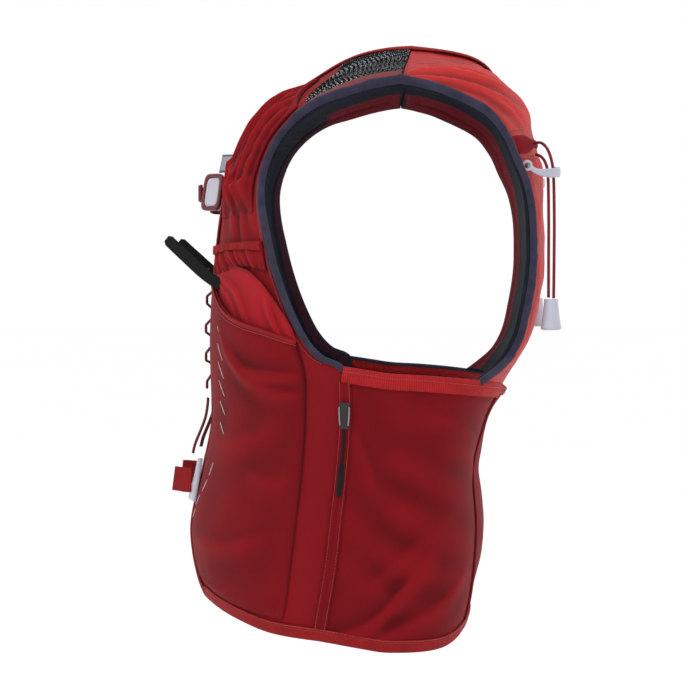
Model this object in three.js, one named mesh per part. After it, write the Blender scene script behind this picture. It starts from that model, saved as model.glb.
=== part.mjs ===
import * as THREE from 'three';

// A running hydration vest as it sits on the body. Millimetres, +Z up, the wearer faces -Y and the
// wearer's left is +X. The origin is midway between the two shoulder seats.

// Driving sizes
const BODY_WIDTH = 322;
const BODY_DEPTH = 231;
const BODY_DROP = 415;
const PADDING = 5;
const LOW_PADDING = 2;
const CLOTH = 1.4;
const MESH_CLOTH = 3;
const LAYER_GAP = 0.4;
const SEAM_GAP = 0.4;
const STRAP_WIDTH = 60;
const PIPING_WIDTH = 6;
const PIPING_THICKNESS = 3;
const EDGING_WIDTH = 5;
const EDGING_THICKNESS = 2.4;
const HEM_WIDTH = 8;
const TOP_BINDING_WIDTH = 10;
const BINDING_THICKNESS = 1.6;
const ZIP_TAPE_WIDTH = 9;
const SEAM_TAPE_WIDTH = 5;
const BAG_BULGE = 7;
const BACK_POCKET_BULGE = 6;
const BACK_POCKET_MOUTH = 4.6;
const FLASK_BULGE = 9;
const CHEST_BULGE = 13;
const SLEEVE_BULGE = 7;
const SIDE_FOLD = 1.6;
const LACE_DIAMETER = 2.4;
const LACE_PITCH = 21;
const LACE_TURNS = 9;
const LACE_TOP = -143;
const CORD_DIAMETER = 2.2;
const WEBBING = 1.6;
const LOOP_HEIGHT = 14;
const STRAP_HEIGHT = 12;
const BUCKLE_WIDTH = 20;
const BUCKLE_HEIGHT = 28;
const BUCKLE_THICKNESS = 3;
const BUCKLE_RIM = 3.2;
const BUCKLE_TURN = 0.82;
const PULL_TAB_WIDTH = 11;
const HOOK_HEIGHT = 8;
const HOOK_THICKNESS = 2.4;
const LOCK_LENGTH = 22.5;
const LOCK_RADIUS = 7.4;
const SLIDER_WIDTH = 11;
const SLIDER_THICKNESS = 4;
const PULLER_WIDTH = 5;
const PULLER_THICKNESS = 2.4;
const TAB_HEIGHT = 18;

// The free stretch of each drawcord, from its eyelet in the bag down to the cord lock, and the hook
// that holds both out.
// Rows: angle in degrees, height as a share of BODY_DROP, distance out from the outer cloth.
const CORD_ROUTES = {
  drawcord_1: [
    [146.4, -0.127, 3.4], [145.9, -0.128, 8.6], [145.2, -0.137, 12.5], [145, -0.156, 14.6],
    [144.9, -0.184, 14.6], [145.3, -0.25, 13.1], [145.6, -0.318, 12.4], [145.8, -0.382, 15],
  ],
  drawcord_2: [
    [146.2, -0.145, 3.6], [145.5, -0.15, 7.2], [145.1, -0.162, 10], [145, -0.184, 10.5],
    [145.3, -0.25, 9], [145.6, -0.318, 8.4], [145.8, -0.382, 11.2],
  ],
};
const HOOK_ROUTE = [
  [139.6, -0.172, 1], [141.1, -0.173, 4.1], [142.6, -0.175, 9.1], [143.5, -0.177, 14.4],
  [144.1, -0.178, 18], [145.3, -0.178, 18.8], [146.2, -0.178, 16.7], [146.3, -0.176, 12.9],
];

// Colours
const CRIMSON = 0x8c1c28;
const BRIGHT_RED = 0xc4202a;
const NYLON_RED = 0xb2222c;
const DARK_RED = 0x6e1420;
const SLATE = 0x6b6272;
const NAVY = 0x1b2038;
const BLACK = 0x18181b;
const PALE_GREY = 0xc9c9c5;

// Level sections of the body, as shares: height of BODY_DROP, half width of half BODY_WIDTH, and the
// middle, front and back of BODY_DEPTH
const SECTIONS = table('height width middle front back', [
  [0.072, 0.286, 0.061, -0.061, 0.165],
  [0.039, 0.404, 0.052, -0.139, 0.225],
  [0.019, 0.522, 0.043, -0.195, 0.26],
  [-0.01, 0.683, 0.026, -0.26, 0.299],
  [-0.034, 0.783, 0.017, -0.32, 0.329],
  [-0.072, 0.876, 0, -0.403, 0.372],
  [-0.133, 0.938, -0.017, -0.485, 0.411],
  [-0.217, 0.975, -0.035, -0.541, 0.433],
  [-0.313, 0.994, -0.043, -0.563, 0.437],
  [-0.422, 1, -0.052, -0.576, 0.411],
  [-0.518, 0.994, -0.069, -0.58, 0.342],
  [-0.602, 0.975, -0.095, -0.584, 0.273],
  [-0.699, 0.95, -0.13, -0.615, 0.234],
  [-0.807, 0.932, -0.165, -0.654, 0.251],
  [-0.904, 0.913, -0.182, -0.632, 0.234],
  [-1.01, 0.894, -0.19, -0.606, 0.19],
]);
const FRONT_ROUNDNESS = 2.1;
const BACK_ROUNDNESS = 4;

// Edge lines, each row an angle in degrees round from the front and a height as a share of BODY_DROP
const FRONT_EDGE = line([
  [27, -0.918], [20.5, -0.896], [17, -0.862], [15.8, -0.815], [15.5, -0.76], [15.5, -0.705],
  [15.6, -0.655], [15.7, -0.61], [15.7, -0.57], [15.8, -0.53], [16, -0.495], [16.3, -0.445],
  [16.6, -0.385], [17.1, -0.32], [17.9, -0.255], [19, -0.19], [20.6, -0.135], [23, -0.082],
  [27.5, -0.03], [36.5, 0.006], [50, 0.025], [70, 0.035], [90, 0.0385],
]);
const SEAM_AND_ARMHOLE = line([
  [83.8, -0.973], [85.2, -0.93], [86.6, -0.88], [87.3, -0.82], [86.7, -0.755], [85.6, -0.69],
  [84.2, -0.63], [82.5, -0.57], [80.4, -0.509], [72.8, -0.488], [66.8, -0.456], [60.6, -0.402],
  [55.2, -0.342], [50.7, -0.282], [46.9, -0.231], [44.2, -0.18], [44.2, -0.13], [47.8, -0.089],
  [54.8, -0.063], [64, -0.05], [74, -0.038], [83, -0.031], [90, -0.028],
]);
const ARMHOLE_BACK = line([
  [131, -0.529], [135.3, -0.512], [140.7, -0.488], [142.6, -0.46], [142.5, -0.42], [142.8, -0.37],
  [143, -0.31], [142.7, -0.25], [139.7, -0.198], [135.6, -0.156], [132.2, -0.114], [126.5, -0.077],
  [112, -0.046], [100, -0.034], [90, -0.028],
]);
const CENTRE_AND_NECK = line([
  [180, -0.538], [180, -0.5], [180, -0.46], [180, -0.415], [180, -0.365], [180, -0.31],
  [180, -0.255], [180, -0.195], [180, -0.135], [180, -0.075], [180, -0.01], [164, -0.003],
  [143, 0.015], [117, 0.03], [90, 0.0385],
]);
const FRONT_SEAM = line([
  [83.8, -0.973], [85.2, -0.93], [86.6, -0.88], [87.3, -0.82], [86.7, -0.755], [85.6, -0.69],
  [84.2, -0.63], [82.5, -0.57], [80.4, -0.509],
]);
const REAR_SEAM = line([
  [147.2, -0.969], [148.6, -0.887], [148, -0.814], [151.7, -0.725], [152, -0.63], [150, -0.537],
]);
const SIDE_TOP = line([[80.4, -0.509], [96, -0.52], [112, -0.524], [131, -0.53], [150, -0.537]]);
const SIDE_HEM = line([[83.8, -0.973], [102, -0.986], [114.4, -0.993], [133.5, -0.99], [147.2, -0.969]]);

const SIDE = patch(SIDE_HEM, SIDE_TOP, FRONT_SEAM, REAR_SEAM);
const FRONT = patch(
  line([[27, -0.918], [49.5, -0.946], [64.6, -0.963], [83.8, -0.973]]),
  line([[90, 0.0385], [90, 0.005], [90, -0.028]]),
  FRONT_EDGE,
  SEAM_AND_ARMHOLE,
);
const UPPER_BACK = patch(
  line([[131, -0.529], [150, -0.535], [180, -0.538]]),
  line([[90, -0.028], [90, 0.005], [90, 0.0385]]),
  ARMHOLE_BACK,
  CENTRE_AND_NECK,
);
const LOWER_BACK = patch(
  line([[147.2, -0.969], [163, -0.957], [180, -0.954]]),
  line([[150, -0.537], [165, -0.54], [180, -0.541]]),
  REAR_SEAM,
  line([[180, -0.954], [180, -0.75], [180, -0.541]]),
);
const FLASK = patch(
  line([[29, -0.895], [42, -0.915], [56, -0.93], [69.5, -0.94]]),
  line([[19, -0.36], [30, -0.4], [37.7, -0.423], [45.1, -0.438], [53.5, -0.45], [64.5, -0.468]]),
  line([[29, -0.895], [21.5, -0.868], [19, -0.8], [18.6, -0.68], [18.7, -0.5], [19, -0.36]]),
  line([
    [69.5, -0.94], [71.4, -0.904], [73.4, -0.802], [72, -0.699], [69.5, -0.598], [68, -0.522], [64.5, -0.468],
  ]),
);
const SLEEVE = patch(
  line([[21.5, -0.347], [30.1, -0.347], [38.4, -0.338], [45, -0.338], [52, -0.345]]),
  line([[23, -0.303], [30, -0.3], [40, -0.297], [49.5, -0.294]]),
  line([[21.5, -0.347], [23, -0.303]]),
  line([[52, -0.345], [49.5, -0.294]]),
);
const CHEST = patch(
  line([[21.5, -0.25], [30, -0.252], [38, -0.25], [43.5, -0.243]]),
  line([[37, -0.018], [38.5, -0.045], [45.5, -0.07]]),
  line([[21.5, -0.25], [22, -0.19], [23.5, -0.13], [26, -0.08], [31, -0.04], [37, -0.018]]),
  line([[43.5, -0.243], [41, -0.19], [40.6, -0.135], [42.5, -0.1], [45.5, -0.07]]),
);

// A table's rows as objects keyed by its column names
function table(columns, rows) {
  const names = columns.split(' ');
  return rows.map((row) => Object.fromEntries(names.map((name, k) => [name, row[k]])));
}

function line(rows) {
  return new THREE.SplineCurve(rows.map(([angle, height]) => new THREE.Vector2(angle, height)));
}

// The angle and height at u, v inside four edge lines, blended from all four
function patch(bottom, top, left, right) {
  return (u, v) => {
    const across = bottom.getPoint(u).lerp(top.getPoint(u), v);
    const up = left.getPoint(v).lerp(right.getPoint(v), u);
    const low = left.getPoint(0).lerp(right.getPoint(0), u);
    const high = left.getPoint(1).lerp(right.getPoint(1), u);
    return across.add(up).sub(low.lerp(high, v));
  };
}

// Monotone cubic interpolation in a column of the section table
function sectionValue(column, height) {
  const x = SECTIONS.map((row) => -row.height);
  const y = SECTIONS.map((row) => row[column]);
  const last = x.length - 1;
  const at = Math.min(Math.max(-height, x[0]), x[last]);
  const slope = (i) => (y[i + 1] - y[i]) / (x[i + 1] - x[i]);
  const tangent = (i) => {
    if (i === 0) return slope(0);
    if (i === last) return slope(last - 1);
    const product = slope(i - 1) * slope(i);
    return product > 0 ? (2 * product) / (slope(i - 1) + slope(i)) : 0;
  };
  let i = 0;
  while (i < last - 1 && at > x[i + 1]) i += 1;
  const step = x[i + 1] - x[i];
  const t = (at - x[i]) / step;
  const rise = t * t * (3 - 2 * t);
  const enter = t * (1 - t) * (1 - t) * step * tangent(i);
  const leave = t * t * (t - 1) * step * tangent(i + 1);
  return y[i] * (1 - rise) + y[i + 1] * rise + enter + leave;
}

// A point on the body: a superellipse in each level section
function bodyPoint(angle, height) {
  const turn = THREE.MathUtils.degToRad(angle);
  const power = angle < 90 ? FRONT_ROUNDNESS : BACK_ROUNDNESS;
  const s = Math.sin(turn);
  const c = Math.cos(turn);
  const reach = (Math.abs(s) ** power + Math.abs(c) ** power) ** (-1 / power);
  const middle = sectionValue('middle', height);
  const end = sectionValue(angle < 90 ? 'front' : 'back', height);
  return new THREE.Vector3(
    (BODY_WIDTH / 2) * sectionValue('width', height) * s * reach,
    BODY_DEPTH * (middle + (end - middle) * Math.abs(c) * reach),
    BODY_DROP * height,
  );
}

function outward(angle, height) {
  const turn = bodyPoint(angle + 0.2, height).sub(bodyPoint(angle - 0.2, height));
  const rise = bodyPoint(angle, height + 0.002).sub(bodyPoint(angle, height - 0.002));
  return turn.cross(rise).normalize();
}

function onBody(spot, offset, side = 1) {
  const point = bodyPoint(spot.x, spot.y).addScaledVector(outward(spot.x, spot.y), offset);
  return new THREE.Vector3(side * point.x, point.y, point.z);
}

function smooth(low, high, value) {
  return THREE.MathUtils.smoothstep(value, low, high);
}

function padding(height) {
  return LOW_PADDING + (PADDING - LOW_PADDING) * smooth(-0.62, -0.45, height);
}

// The inner face of a layer of cloth: 0 lies on the padding, 1 on the layer below
function layer(number, height) {
  return padding(height) + LAYER_GAP + number * (CLOTH + LAYER_GAP);
}

function steps(count, from = 0, to = 1) {
  return Array.from({ length: count + 1 }, (_, i) => from + ((to - from) * i) / count);
}

function closedBody(points, triangles) {
  const geometry = new THREE.BufferGeometry();
  const numbers = points.flatMap((p) => [p.x, p.y, p.z]);
  geometry.setAttribute('position', new THREE.Float32BufferAttribute(numbers, 3));
  geometry.setIndex(triangles.flat());
  geometry.computeVertexNormals();
  return geometry;
}

// A closed wall over patches of the body. Each sheet has place(u, v), the us and vs of its grid,
// and inner and outer distances from the body, as functions of u, v and height.
function wall(sheets) {
  const inner = [];
  const outer = [];
  const known = new Map();
  const quads = [];
  const corner = (sheet, u, v) => {
    const spot = sheet.place(u, v);
    const out = onBody(spot, sheet.outer(u, v, spot.y), sheet.side);
    const key = [out.x, out.y, out.z].map((value) => Math.round(value * 500)).join();
    if (!known.has(key)) {
      known.set(key, outer.length);
      outer.push(out);
      inner.push(onBody(spot, sheet.inner(u, v, spot.y), sheet.side));
    }
    return known.get(key);
  };
  for (const sheet of sheets) {
    for (let i = 0; i < sheet.us.length - 1; i += 1) {
      for (let j = 0; j < sheet.vs.length - 1; j += 1) {
        if (sheet.skip?.(i, j)) continue;
        const around = [[i, j], [i + 1, j], [i + 1, j + 1], [i, j + 1]];
        const quad = around.map(([m, n]) => corner(sheet, sheet.us[m], sheet.vs[n]));
        const [a, b, c, d] = quad;
        quads.push(sheet.side < 0 ? [a, d, c, b] : quad);
      }
    }
  }
  const edges = new Set(quads.flatMap((quad) => quad.map((a, k) => `${a},${quad[(k + 1) % 4]}`)));
  const triangles = [];
  for (const quad of quads) {
    const [a, b, c, d] = quad;
    const below = quad.map((k) => k + outer.length);
    triangles.push([a, b, c], [a, c, d]);
    triangles.push([below[0], below[2], below[1]], [below[0], below[3], below[2]]);
    quad.forEach((from, k) => {
      const to = quad[(k + 1) % 4];
      if (edges.has(`${to},${from}`)) return;
      triangles.push([from, from + outer.length, to + outer.length], [from, to + outer.length, to]);
    });
  }
  return closedBody([...outer, ...inner], triangles);
}

// A closed body carried along stations, each with a point and two directions. The section at a
// station is a round of [across, out] places, and a station may bring its own.
function carried(stations, common) {
  const points = stations.flatMap(({ point, across, out, section = common }) =>
    section.map(([a, b]) => point.clone().addScaledVector(across, a).addScaledVector(out, b)));
  const count = points.length / stations.length;
  const triangles = [];
  for (let i = 0; i < stations.length - 1; i += 1) {
    for (let k = 0; k < count; k += 1) {
      const a = i * count + k;
      const b = i * count + ((k + 1) % count);
      triangles.push([a, b + count, b], [a, a + count, b + count]);
    }
  }
  const end = (stations.length - 1) * count;
  for (let k = 1; k < count - 1; k += 1) triangles.push([0, k, k + 1], [end, end + k + 1, end + k]);
  return closedBody(points, triangles);
}

// Stations along spots on the body at an offset, with across pointing to the right of travel
function stationsOn(spots, offset, side) {
  const points = spots.map((spot) => onBody(spot, offset(spot.y), side));
  return points.map((point, i) => {
    const next = points[Math.min(i + 1, points.length - 1)];
    const ahead = next.clone().sub(points[Math.max(i - 1, 0)]).normalize();
    const out = outward(spots[i].x, spots[i].y);
    out.x *= side;
    const across = ahead.clone().cross(out).normalize();
    return { point, across, out: across.clone().cross(ahead).normalize() };
  });
}

// Stations along a free path whose flat side faces a given direction
function stationsAlong(points, facing) {
  return points.map((point, i) => {
    const next = points[Math.min(i + 1, points.length - 1)];
    const ahead = next.clone().sub(points[Math.max(i - 1, 0)]).normalize();
    const across = ahead.clone().cross(facing).normalize();
    return { point, across, out: across.clone().cross(ahead).normalize() };
  });
}

function oval(width, thickness, sides) {
  return steps(sides - 1, 0, 1 - 1 / sides).map((share) => {
    const turn = 2 * Math.PI * share;
    return [(Math.cos(turn) * width) / 2, (Math.sin(turn) * thickness) / 2];
  });
}

function oblong(width, thickness) {
  const [w, t] = [width / 2, thickness / 2];
  return [[w, -t], [w, t], [-w, t], [-w, -t]];
}

const vest = new THREE.Group();

function add(name, geometry, color, roughness = 0.85) {
  const mesh = new THREE.Mesh(geometry, new THREE.MeshStandardMaterial({ color, roughness, metalness: 0 }));
  mesh.name = name;
  vest.add(mesh);
  return mesh;
}

const seamU = SEAM_GAP / STRAP_WIDTH;
const seamV = SEAM_GAP / (BODY_DROP / 2);
const sides = [['left', 1], ['right', -1]];
const hill = (share) => Math.sin(Math.PI * Math.min(Math.max(share, 0), 1));

// Rows follow the stations of the edge lines
const frontRows = steps(22, 0, 1 - seamV);
const backRows = [seamV, ...steps(12, 1 / 14, 13 / 14), 1 - seamV];
const frontColumns = [0, 0.14, 0.3, 0.48, 0.66, 0.83, 1 - seamU];
const backColumns = [seamU, 0.06, 0.22, 0.4, 0.6, 0.8, 1];
// The shoulder mesh begins low beside the armhole, and a row higher beside the neck
const meshFrom = { column: 1, row: 19, lowColumn: 3, lowRow: 18 };
const lowerRows = steps(8);
const lowerColumns = [seamU, 0.06, 0.25, 0.5, 0.75, 1];
const hemShare = HEM_WIDTH / (0.343 * BODY_DROP);
const topShare = TOP_BINDING_WIDTH / (0.48 * BODY_DROP);
const neckCorner = 10 / 14;
const sideRows = [0, hemShare, ...steps(6, 1 / 8, 7 / 8), 1 - topShare, 1];
// From nothing beside a seam to full at the middle of the back
const rise = (u) => hill(Math.max(u - 0.06, 0) / 1.88);

function padded(place, us, vs, side) {
  return { place, us, vs, side, inner: () => 0, outer: (u, v, height) => padding(height) };
}

function cloth(place, us, vs, side, stand = () => 0, number = 0, thickness = CLOTH) {
  const inner = (u, v, height) => layer(number, height) + stand(u, v, height);
  return { place, us, vs, side, inner, outer: (u, v, height) => inner(u, v, height) + thickness };
}

// How far the back bag, the lower back pocket and the front pockets stand off what they are sewn to
function bagStand(u, v) {
  const beside = 1 - smooth(0.5, 0.93, u) * smooth(neckCorner - 0.07, neckCorner, v);
  return BAG_BULGE * Math.sqrt(rise(u)) * hill(v) ** 0.7 * (0.45 + 0.55 * smooth(0.45, 0.8, v)) * beside;
}

function pocketStand(u, v) {
  const bulge = BACK_POCKET_BULGE * hill(v) * smooth(0.04, 0.3, v);
  return rise(u) * (bulge + BACK_POCKET_MOUTH * smooth(0.8, 1, v));
}

// Linings
function addLinings() {
  for (const [name, side] of sides) {
    add(`lining_front_${name}`, wall([padded(FRONT, frontColumns, frontRows, side)]), NAVY);
  }
  add('lining_back', wall(sides.map(([, side]) => padded(UPPER_BACK, backColumns, backRows, side))), NAVY);
  const lower = sides.map(([, side]) => padded(LOWER_BACK, lowerColumns, lowerRows, side));
  add('lower_back_panel', wall(lower), CRIMSON);
}

// Front panels, shoulder mesh and side panels
function addShells() {
  for (const [name, side] of sides) {
    const front = cloth(FRONT, frontColumns, frontRows, side);
    front.skip = (i, j) => (i >= meshFrom.column && j >= meshFrom.row) ||
      (i >= meshFrom.lowColumn && j >= meshFrom.lowRow);
    add(`front_panel_${name}`, wall([front]), BRIGHT_RED);
    const starts = [meshFrom.column, meshFrom.lowColumn];
    const columns = frontColumns.map((u, i) => (starts.includes(i) ? u + seamU : u));
    const rows = frontRows.map((v, j) => ([meshFrom.row, meshFrom.lowRow].includes(j) ? v + seamV : v));
    const mesh = cloth(FRONT, columns, rows, side, () => 0, 0, MESH_CLOTH);
    mesh.skip = (i, j) => !front.skip(i, j);
    add(`shoulder_mesh_${name}`, wall([mesh]), BLACK, 0.95);
    // Three shallow sag folds run down and forward from the rear seam
    const sag = (u, v) => Math.cos(2 * Math.PI * (3 * v + 0.9 * u)) ** 2;
    const folds = (u, v) => SIDE_FOLD * hill(u) * hill(v) * smooth(0.06, 0.4, 1 - v) * sag(u, v);
    const panel = cloth(SIDE, steps(7, seamU / 2, 1 - seamU / 2), sideRows, side, folds);
    add(`side_panel_${name}`, wall([panel]), CRIMSON);
  }
}

// The back bag is one outer wall that stands off the lining, and the lower pocket is open at its top
function addBackPockets() {
  const bag = sides.map(([, side]) => cloth(UPPER_BACK, backColumns, backRows, side, bagStand));
  add('back_bag', wall(bag), NYLON_RED, 0.6);
  const pocket = sides.map(([, side]) => cloth(LOWER_BACK, lowerColumns, lowerRows, side, pocketStand));
  add('back_pocket', wall(pocket), CRIMSON);
  const band = sides.map(([, side]) =>
    cloth(LOWER_BACK, lowerColumns.slice(1), [1 - topShare, 1], side, pocketStand, 1, BINDING_THICKNESS));
  add('back_pocket_binding', wall(band), BRIGHT_RED);
}

// Pockets on the front panels. Each stands off the panel to a gaping mouth.
function addFrontPockets() {
  const flaskFill = (v) => 0.35 * hill(v * 0.9) + 0.65 * smooth(0.55, 1, v);
  const flaskStand = (u, v) => FLASK_BULGE * hill(u) ** 0.6 * flaskFill(v);
  const pleats = (u) => 0.7 * Math.cos(12 * Math.PI * u);
  const sleeveStand = (u, v) => SLEEVE_BULGE * hill(u) ** 0.6 * smooth(-0.3, 0.6, v) + pleats(u);
  const ridges = (u, v) => 0.17 * Math.cos(5 * Math.PI * u + 2 * v) * smooth(0, 0.5, hill(v));
  const folds = (u, v) => ridges(u, v) + 0.1 * Math.cos(7 * v);
  const chestFill = (u, v) => hill(u) ** 0.7 * Math.sqrt(hill(0.5 + 0.5 * v));
  const chestStand = (u, v) => CHEST_BULGE * chestFill(u, v) * (0.85 + folds(u, v));
  for (const [name, side] of sides) {
    add(`flask_pocket_${name}`, wall([cloth(FLASK, steps(8), steps(8), side, flaskStand, 1)]), CRIMSON);
    const rimRows = [1 - EDGING_WIDTH / (0.48 * BODY_DROP), 1];
    const rim = cloth(FLASK, steps(8), rimRows, side, flaskStand, 2, BINDING_THICKNESS);
    add(`flask_pocket_binding_${name}`, wall([rim]), BRIGHT_RED);
    add(`chest_pocket_${name}`, wall([cloth(CHEST, steps(6), steps(7), side, chestStand, 1)]), BRIGHT_RED);
    const pleated = (u, v) => Math.max(sleeveStand(u, v), 0);
    const sleeve = cloth(SLEEVE, steps(12), [0, 0.5, 1], side, pleated, 1);
    add(`chest_sleeve_${name}`, wall([sleeve]), BRIGHT_RED);
    const band = cloth(SLEEVE, steps(12), [0.72, 1], side, pleated, 2, BINDING_THICKNESS);
    add(`chest_band_${name}`, wall([band]), BRIGHT_RED);
  }
}

// Piping, edgings, bindings and tapes lie on the outer cloth
function addEdges() {
  const inside = PIPING_WIDTH / 2;
  for (const [name, side] of sides) {
    const front = steps(15, 8.4 / 22, 1).map((v) => FRONT(1 - inside / BODY_WIDTH, v));
    const down = steps(14, 0, 1).reverse().slice(1);
    const back = down.map((v) => UPPER_BACK(inside / BODY_WIDTH, Math.max(v, 0.004)));
    const overMesh = (height) => (MESH_CLOTH - CLOTH) * smooth(-0.1, -0.07, height);
    const over = (height) => layer(1, height) + overMesh(height) + PIPING_THICKNESS / 2;
    const section = oval(PIPING_WIDTH, PIPING_THICKNESS, 6);
    add(`armhole_piping_${name}`, carried(stationsOn([...front, ...back], over, side), section), SLATE);
    const seam = [1.3 * hemShare, ...steps(6, 1 / 8, 7 / 8), 1 - 1.3 * topShare].map((v) => SIDE(0, v));
    const tape = oblong(ZIP_TAPE_WIDTH, BINDING_THICKNESS);
    const onSeam = (height) => layer(1, height) + BINDING_THICKNESS / 2;
    add(`zip_tape_${name}`, carried(stationsOn(seam, onSeam, side), tape), BRIGHT_RED);
    const rear = [1.3 * hemShare, ...steps(6, 1 / 8, 7 / 8), 1 - 1.3 * topShare].map((v) => SIDE(1, v));
    const narrow = oblong(SEAM_TAPE_WIDTH, BINDING_THICKNESS);
    add(`rear_seam_tape_${name}`, carried(stationsOn(rear, onSeam, side), narrow), BRIGHT_RED);
    const topRows = [1 - topShare, 1];
    const sideColumns = steps(7, seamU / 2, 1 - seamU / 2);
    const binding = cloth(SIDE, sideColumns, topRows, side, () => 0, 1, BINDING_THICKNESS);
    add(`side_top_binding_${name}`, wall([binding]), BRIGHT_RED);
  }
  const hemBand = (place, us, share, side) => {
    return cloth(place, us, [0, share], side, () => 0, 1, BINDING_THICKNESS);
  };
  const hems = sides.flatMap(([, side]) => [
    hemBand(FRONT, frontColumns.slice(0, -1).concat(1), (hemShare * 8) / 22, side),
    hemBand(SIDE, steps(7), hemShare, side),
    hemBand(LOWER_BACK, [0, ...lowerColumns.slice(1)], hemShare, side),
  ]);
  add('hem_binding', wall(hems), BRIGHT_RED);
  // One edging runs up the front edge, round the neck and down again
  const front = steps(22, 0.03, 1).map((v) => FRONT(EDGING_WIDTH / 2 / (2 * STRAP_WIDTH), v));
  const round = steps(4, neckCorner, 1).reverse().slice(1);
  const neck = round.map((v) => UPPER_BACK(1 - EDGING_WIDTH / 2 / STRAP_WIDTH, v));
  const out = (height) => layer(1, height) + EDGING_THICKNESS / 2 + LAYER_GAP / 2;
  const overSeam = (height) => out(height) + 3 * LAYER_GAP * smooth(-0.02, 0.01, height);
  const half = (side) => stationsOn([...front, ...neck], overSeam, side);
  const centre = onBody(new THREE.Vector2(180, -0.016), out(0) + 3 * LAYER_GAP);
  const turn = { point: centre, across: new THREE.Vector3(0, 0, 1), out: outward(180, -0.016) };
  const turned = ({ point, across, out: away }) => ({ point, across: across.negate(), out: away });
  const back = half(-1).reverse().map(turned);
  const edging = carried([...half(1), turn, ...back], oblong(EDGING_WIDTH, EDGING_THICKNESS));
  add('neck_edging', edging, BRIGHT_RED);
}

function places(side, rows, anchor = new THREE.Vector3()) {
  return rows.map(([x, y, z]) => new THREE.Vector3(side * x, y, z).add(anchor));
}

const UP = new THREE.Vector3(0, 0, 1);

// The zip's slider and its puller hang as one on the tape
function addZipSliders() {
  const base = (height) => layer(1, height) + BINDING_THICKNESS + LAYER_GAP;
  const shape = [
    [0.875, 0.8 * SLIDER_WIDTH, 0.6 * SLIDER_THICKNESS], [0.865, SLIDER_WIDTH, SLIDER_THICKNESS],
    [0.805, 0.9 * SLIDER_WIDTH, SLIDER_THICKNESS], [0.795, 0.6 * PULLER_WIDTH, PULLER_THICKNESS],
    [0.7, 0.6 * PULLER_WIDTH, PULLER_THICKNESS], [0.69, PULLER_WIDTH, PULLER_THICKNESS],
    [0.56, PULLER_WIDTH, PULLER_THICKNESS],
  ];
  for (const [name, side] of sides) {
    const stations = stationsOn(shape.map(([v]) => SIDE(0, v)), base, side);
    shape.forEach(([, width, thickness], k) => {
      const half = width / 2;
      stations[k].section = [[half, 0], [half, thickness], [-half, thickness], [-half, 0]];
    });
    add(`zip_slider_${name}`, carried(stations), BLACK, 0.4);
  }
}

// The bag's drawcord: a hook holds both strands out, and a bell-shaped lock closes them below
function addDrawcords() {
  const ring = oval(CORD_DIAMETER, CORD_DIAMETER, 8).map(([x, y]) => new THREE.Vector2(x, y));
  const round = new THREE.Shape(ring);
  const bell = [[0, 0], [0.49, 0], [0.6, -0.1], [0.75, -0.45], [0.87, -0.84], [1, -0.9], [1, -1], [0, -1]];
  const profile = bell.map(([r, z]) => new THREE.Vector2(r * LOCK_RADIUS, z * LOCK_LENGTH)).reverse();
  for (const [name, side] of sides) {
    const ends = [];
    for (const [cord, route] of Object.entries(CORD_ROUTES)) {
      const points = offTheCloth(route, side);
      const extrudePath = new THREE.CatmullRomCurve3(points, false, 'centripetal');
      const span = Math.round(extrudePath.getLength() / (3 * CORD_DIAMETER));
      add(`${cord}_${name}`, new THREE.ExtrudeGeometry(round, { steps: span, extrudePath }), DARK_RED);
      ends.push(points.at(-1));
    }
    const lock = new THREE.LatheGeometry(profile, 12).rotateX(Math.PI / 2);
    const [first, second] = ends;
    const top = Math.min(first.z, second.z) - LAYER_GAP;
    lock.translate((first.x + second.x) / 2, (first.y + second.y) / 2, top);
    add(`cord_lock_${name}`, lock, PALE_GREY, 0.45);
    const hook = stationsAlong(offTheCloth(HOOK_ROUTE, side), UP);
    add(`cord_hook_${name}`, carried(hook, oblong(HOOK_THICKNESS, HOOK_HEIGHT)), PALE_GREY, 0.45);
  }
}

// Points at an angle and height of the body, a stated distance out from the outer cloth
function offTheCloth(route, side) {
  return route.map(([angle, height, out]) => {
    return onBody(new THREE.Vector2(angle, height), layer(1, height) + out, side);
  });
}

// The direction up the front edge, which leans back towards the shoulder
function upTheEdge(side, height) {
  const [low, high] = [-0.02, 0.02].map((step) => onBody(new THREE.Vector2(20.5, height + step), 0, side));
  return high.sub(low).normalize();
}

// The closure between the front edges: loops, buckles and a strap at the chest, lacing below
function addFrontClosure() {
  const edgeTop = layer(1, 0) + EDGING_THICKNESS;
  const chestOut = edgeTop + WEBBING / 2 + LAYER_GAP;
  const chest = (side, height) => onBody(new THREE.Vector2(20.5, height), chestOut, side);
  for (const [name, side] of sides) {
    const bow = [[3, 0.6, 0], [-1, -0.8, 0], [-5, -4, 0], [-8.5, -8.5, 0]];
    const loop = stationsAlong(places(side, bow, chest(side, -0.16)), upTheEdge(side, -0.16));
    add(`ribbon_loop_${name}`, carried(loop, oblong(WEBBING, LOOP_HEIGHT)), PALE_GREY);
    addBuckle(name, side, chest(side, -0.207));
    addPullTab(name, side);
    addLowerStrap(name, side);
  }
  const end = chest(1, -0.207);
  const strap = [[end.x - 15.2, end.y - 16.2], [end.x - 30, end.y - 19], [0, end.y - 20]];
  const across = [...strap, ...strap.slice(0, 2).reverse().map(([x, y]) => [-x, y])];
  const band = across.map(([x, y]) => new THREE.Vector3(x, y, end.z));
  add('sternum_strap', carried(stationsAlong(band, UP), oblong(WEBBING, STRAP_HEIGHT)), DARK_RED);
  addLacing();
}

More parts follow.
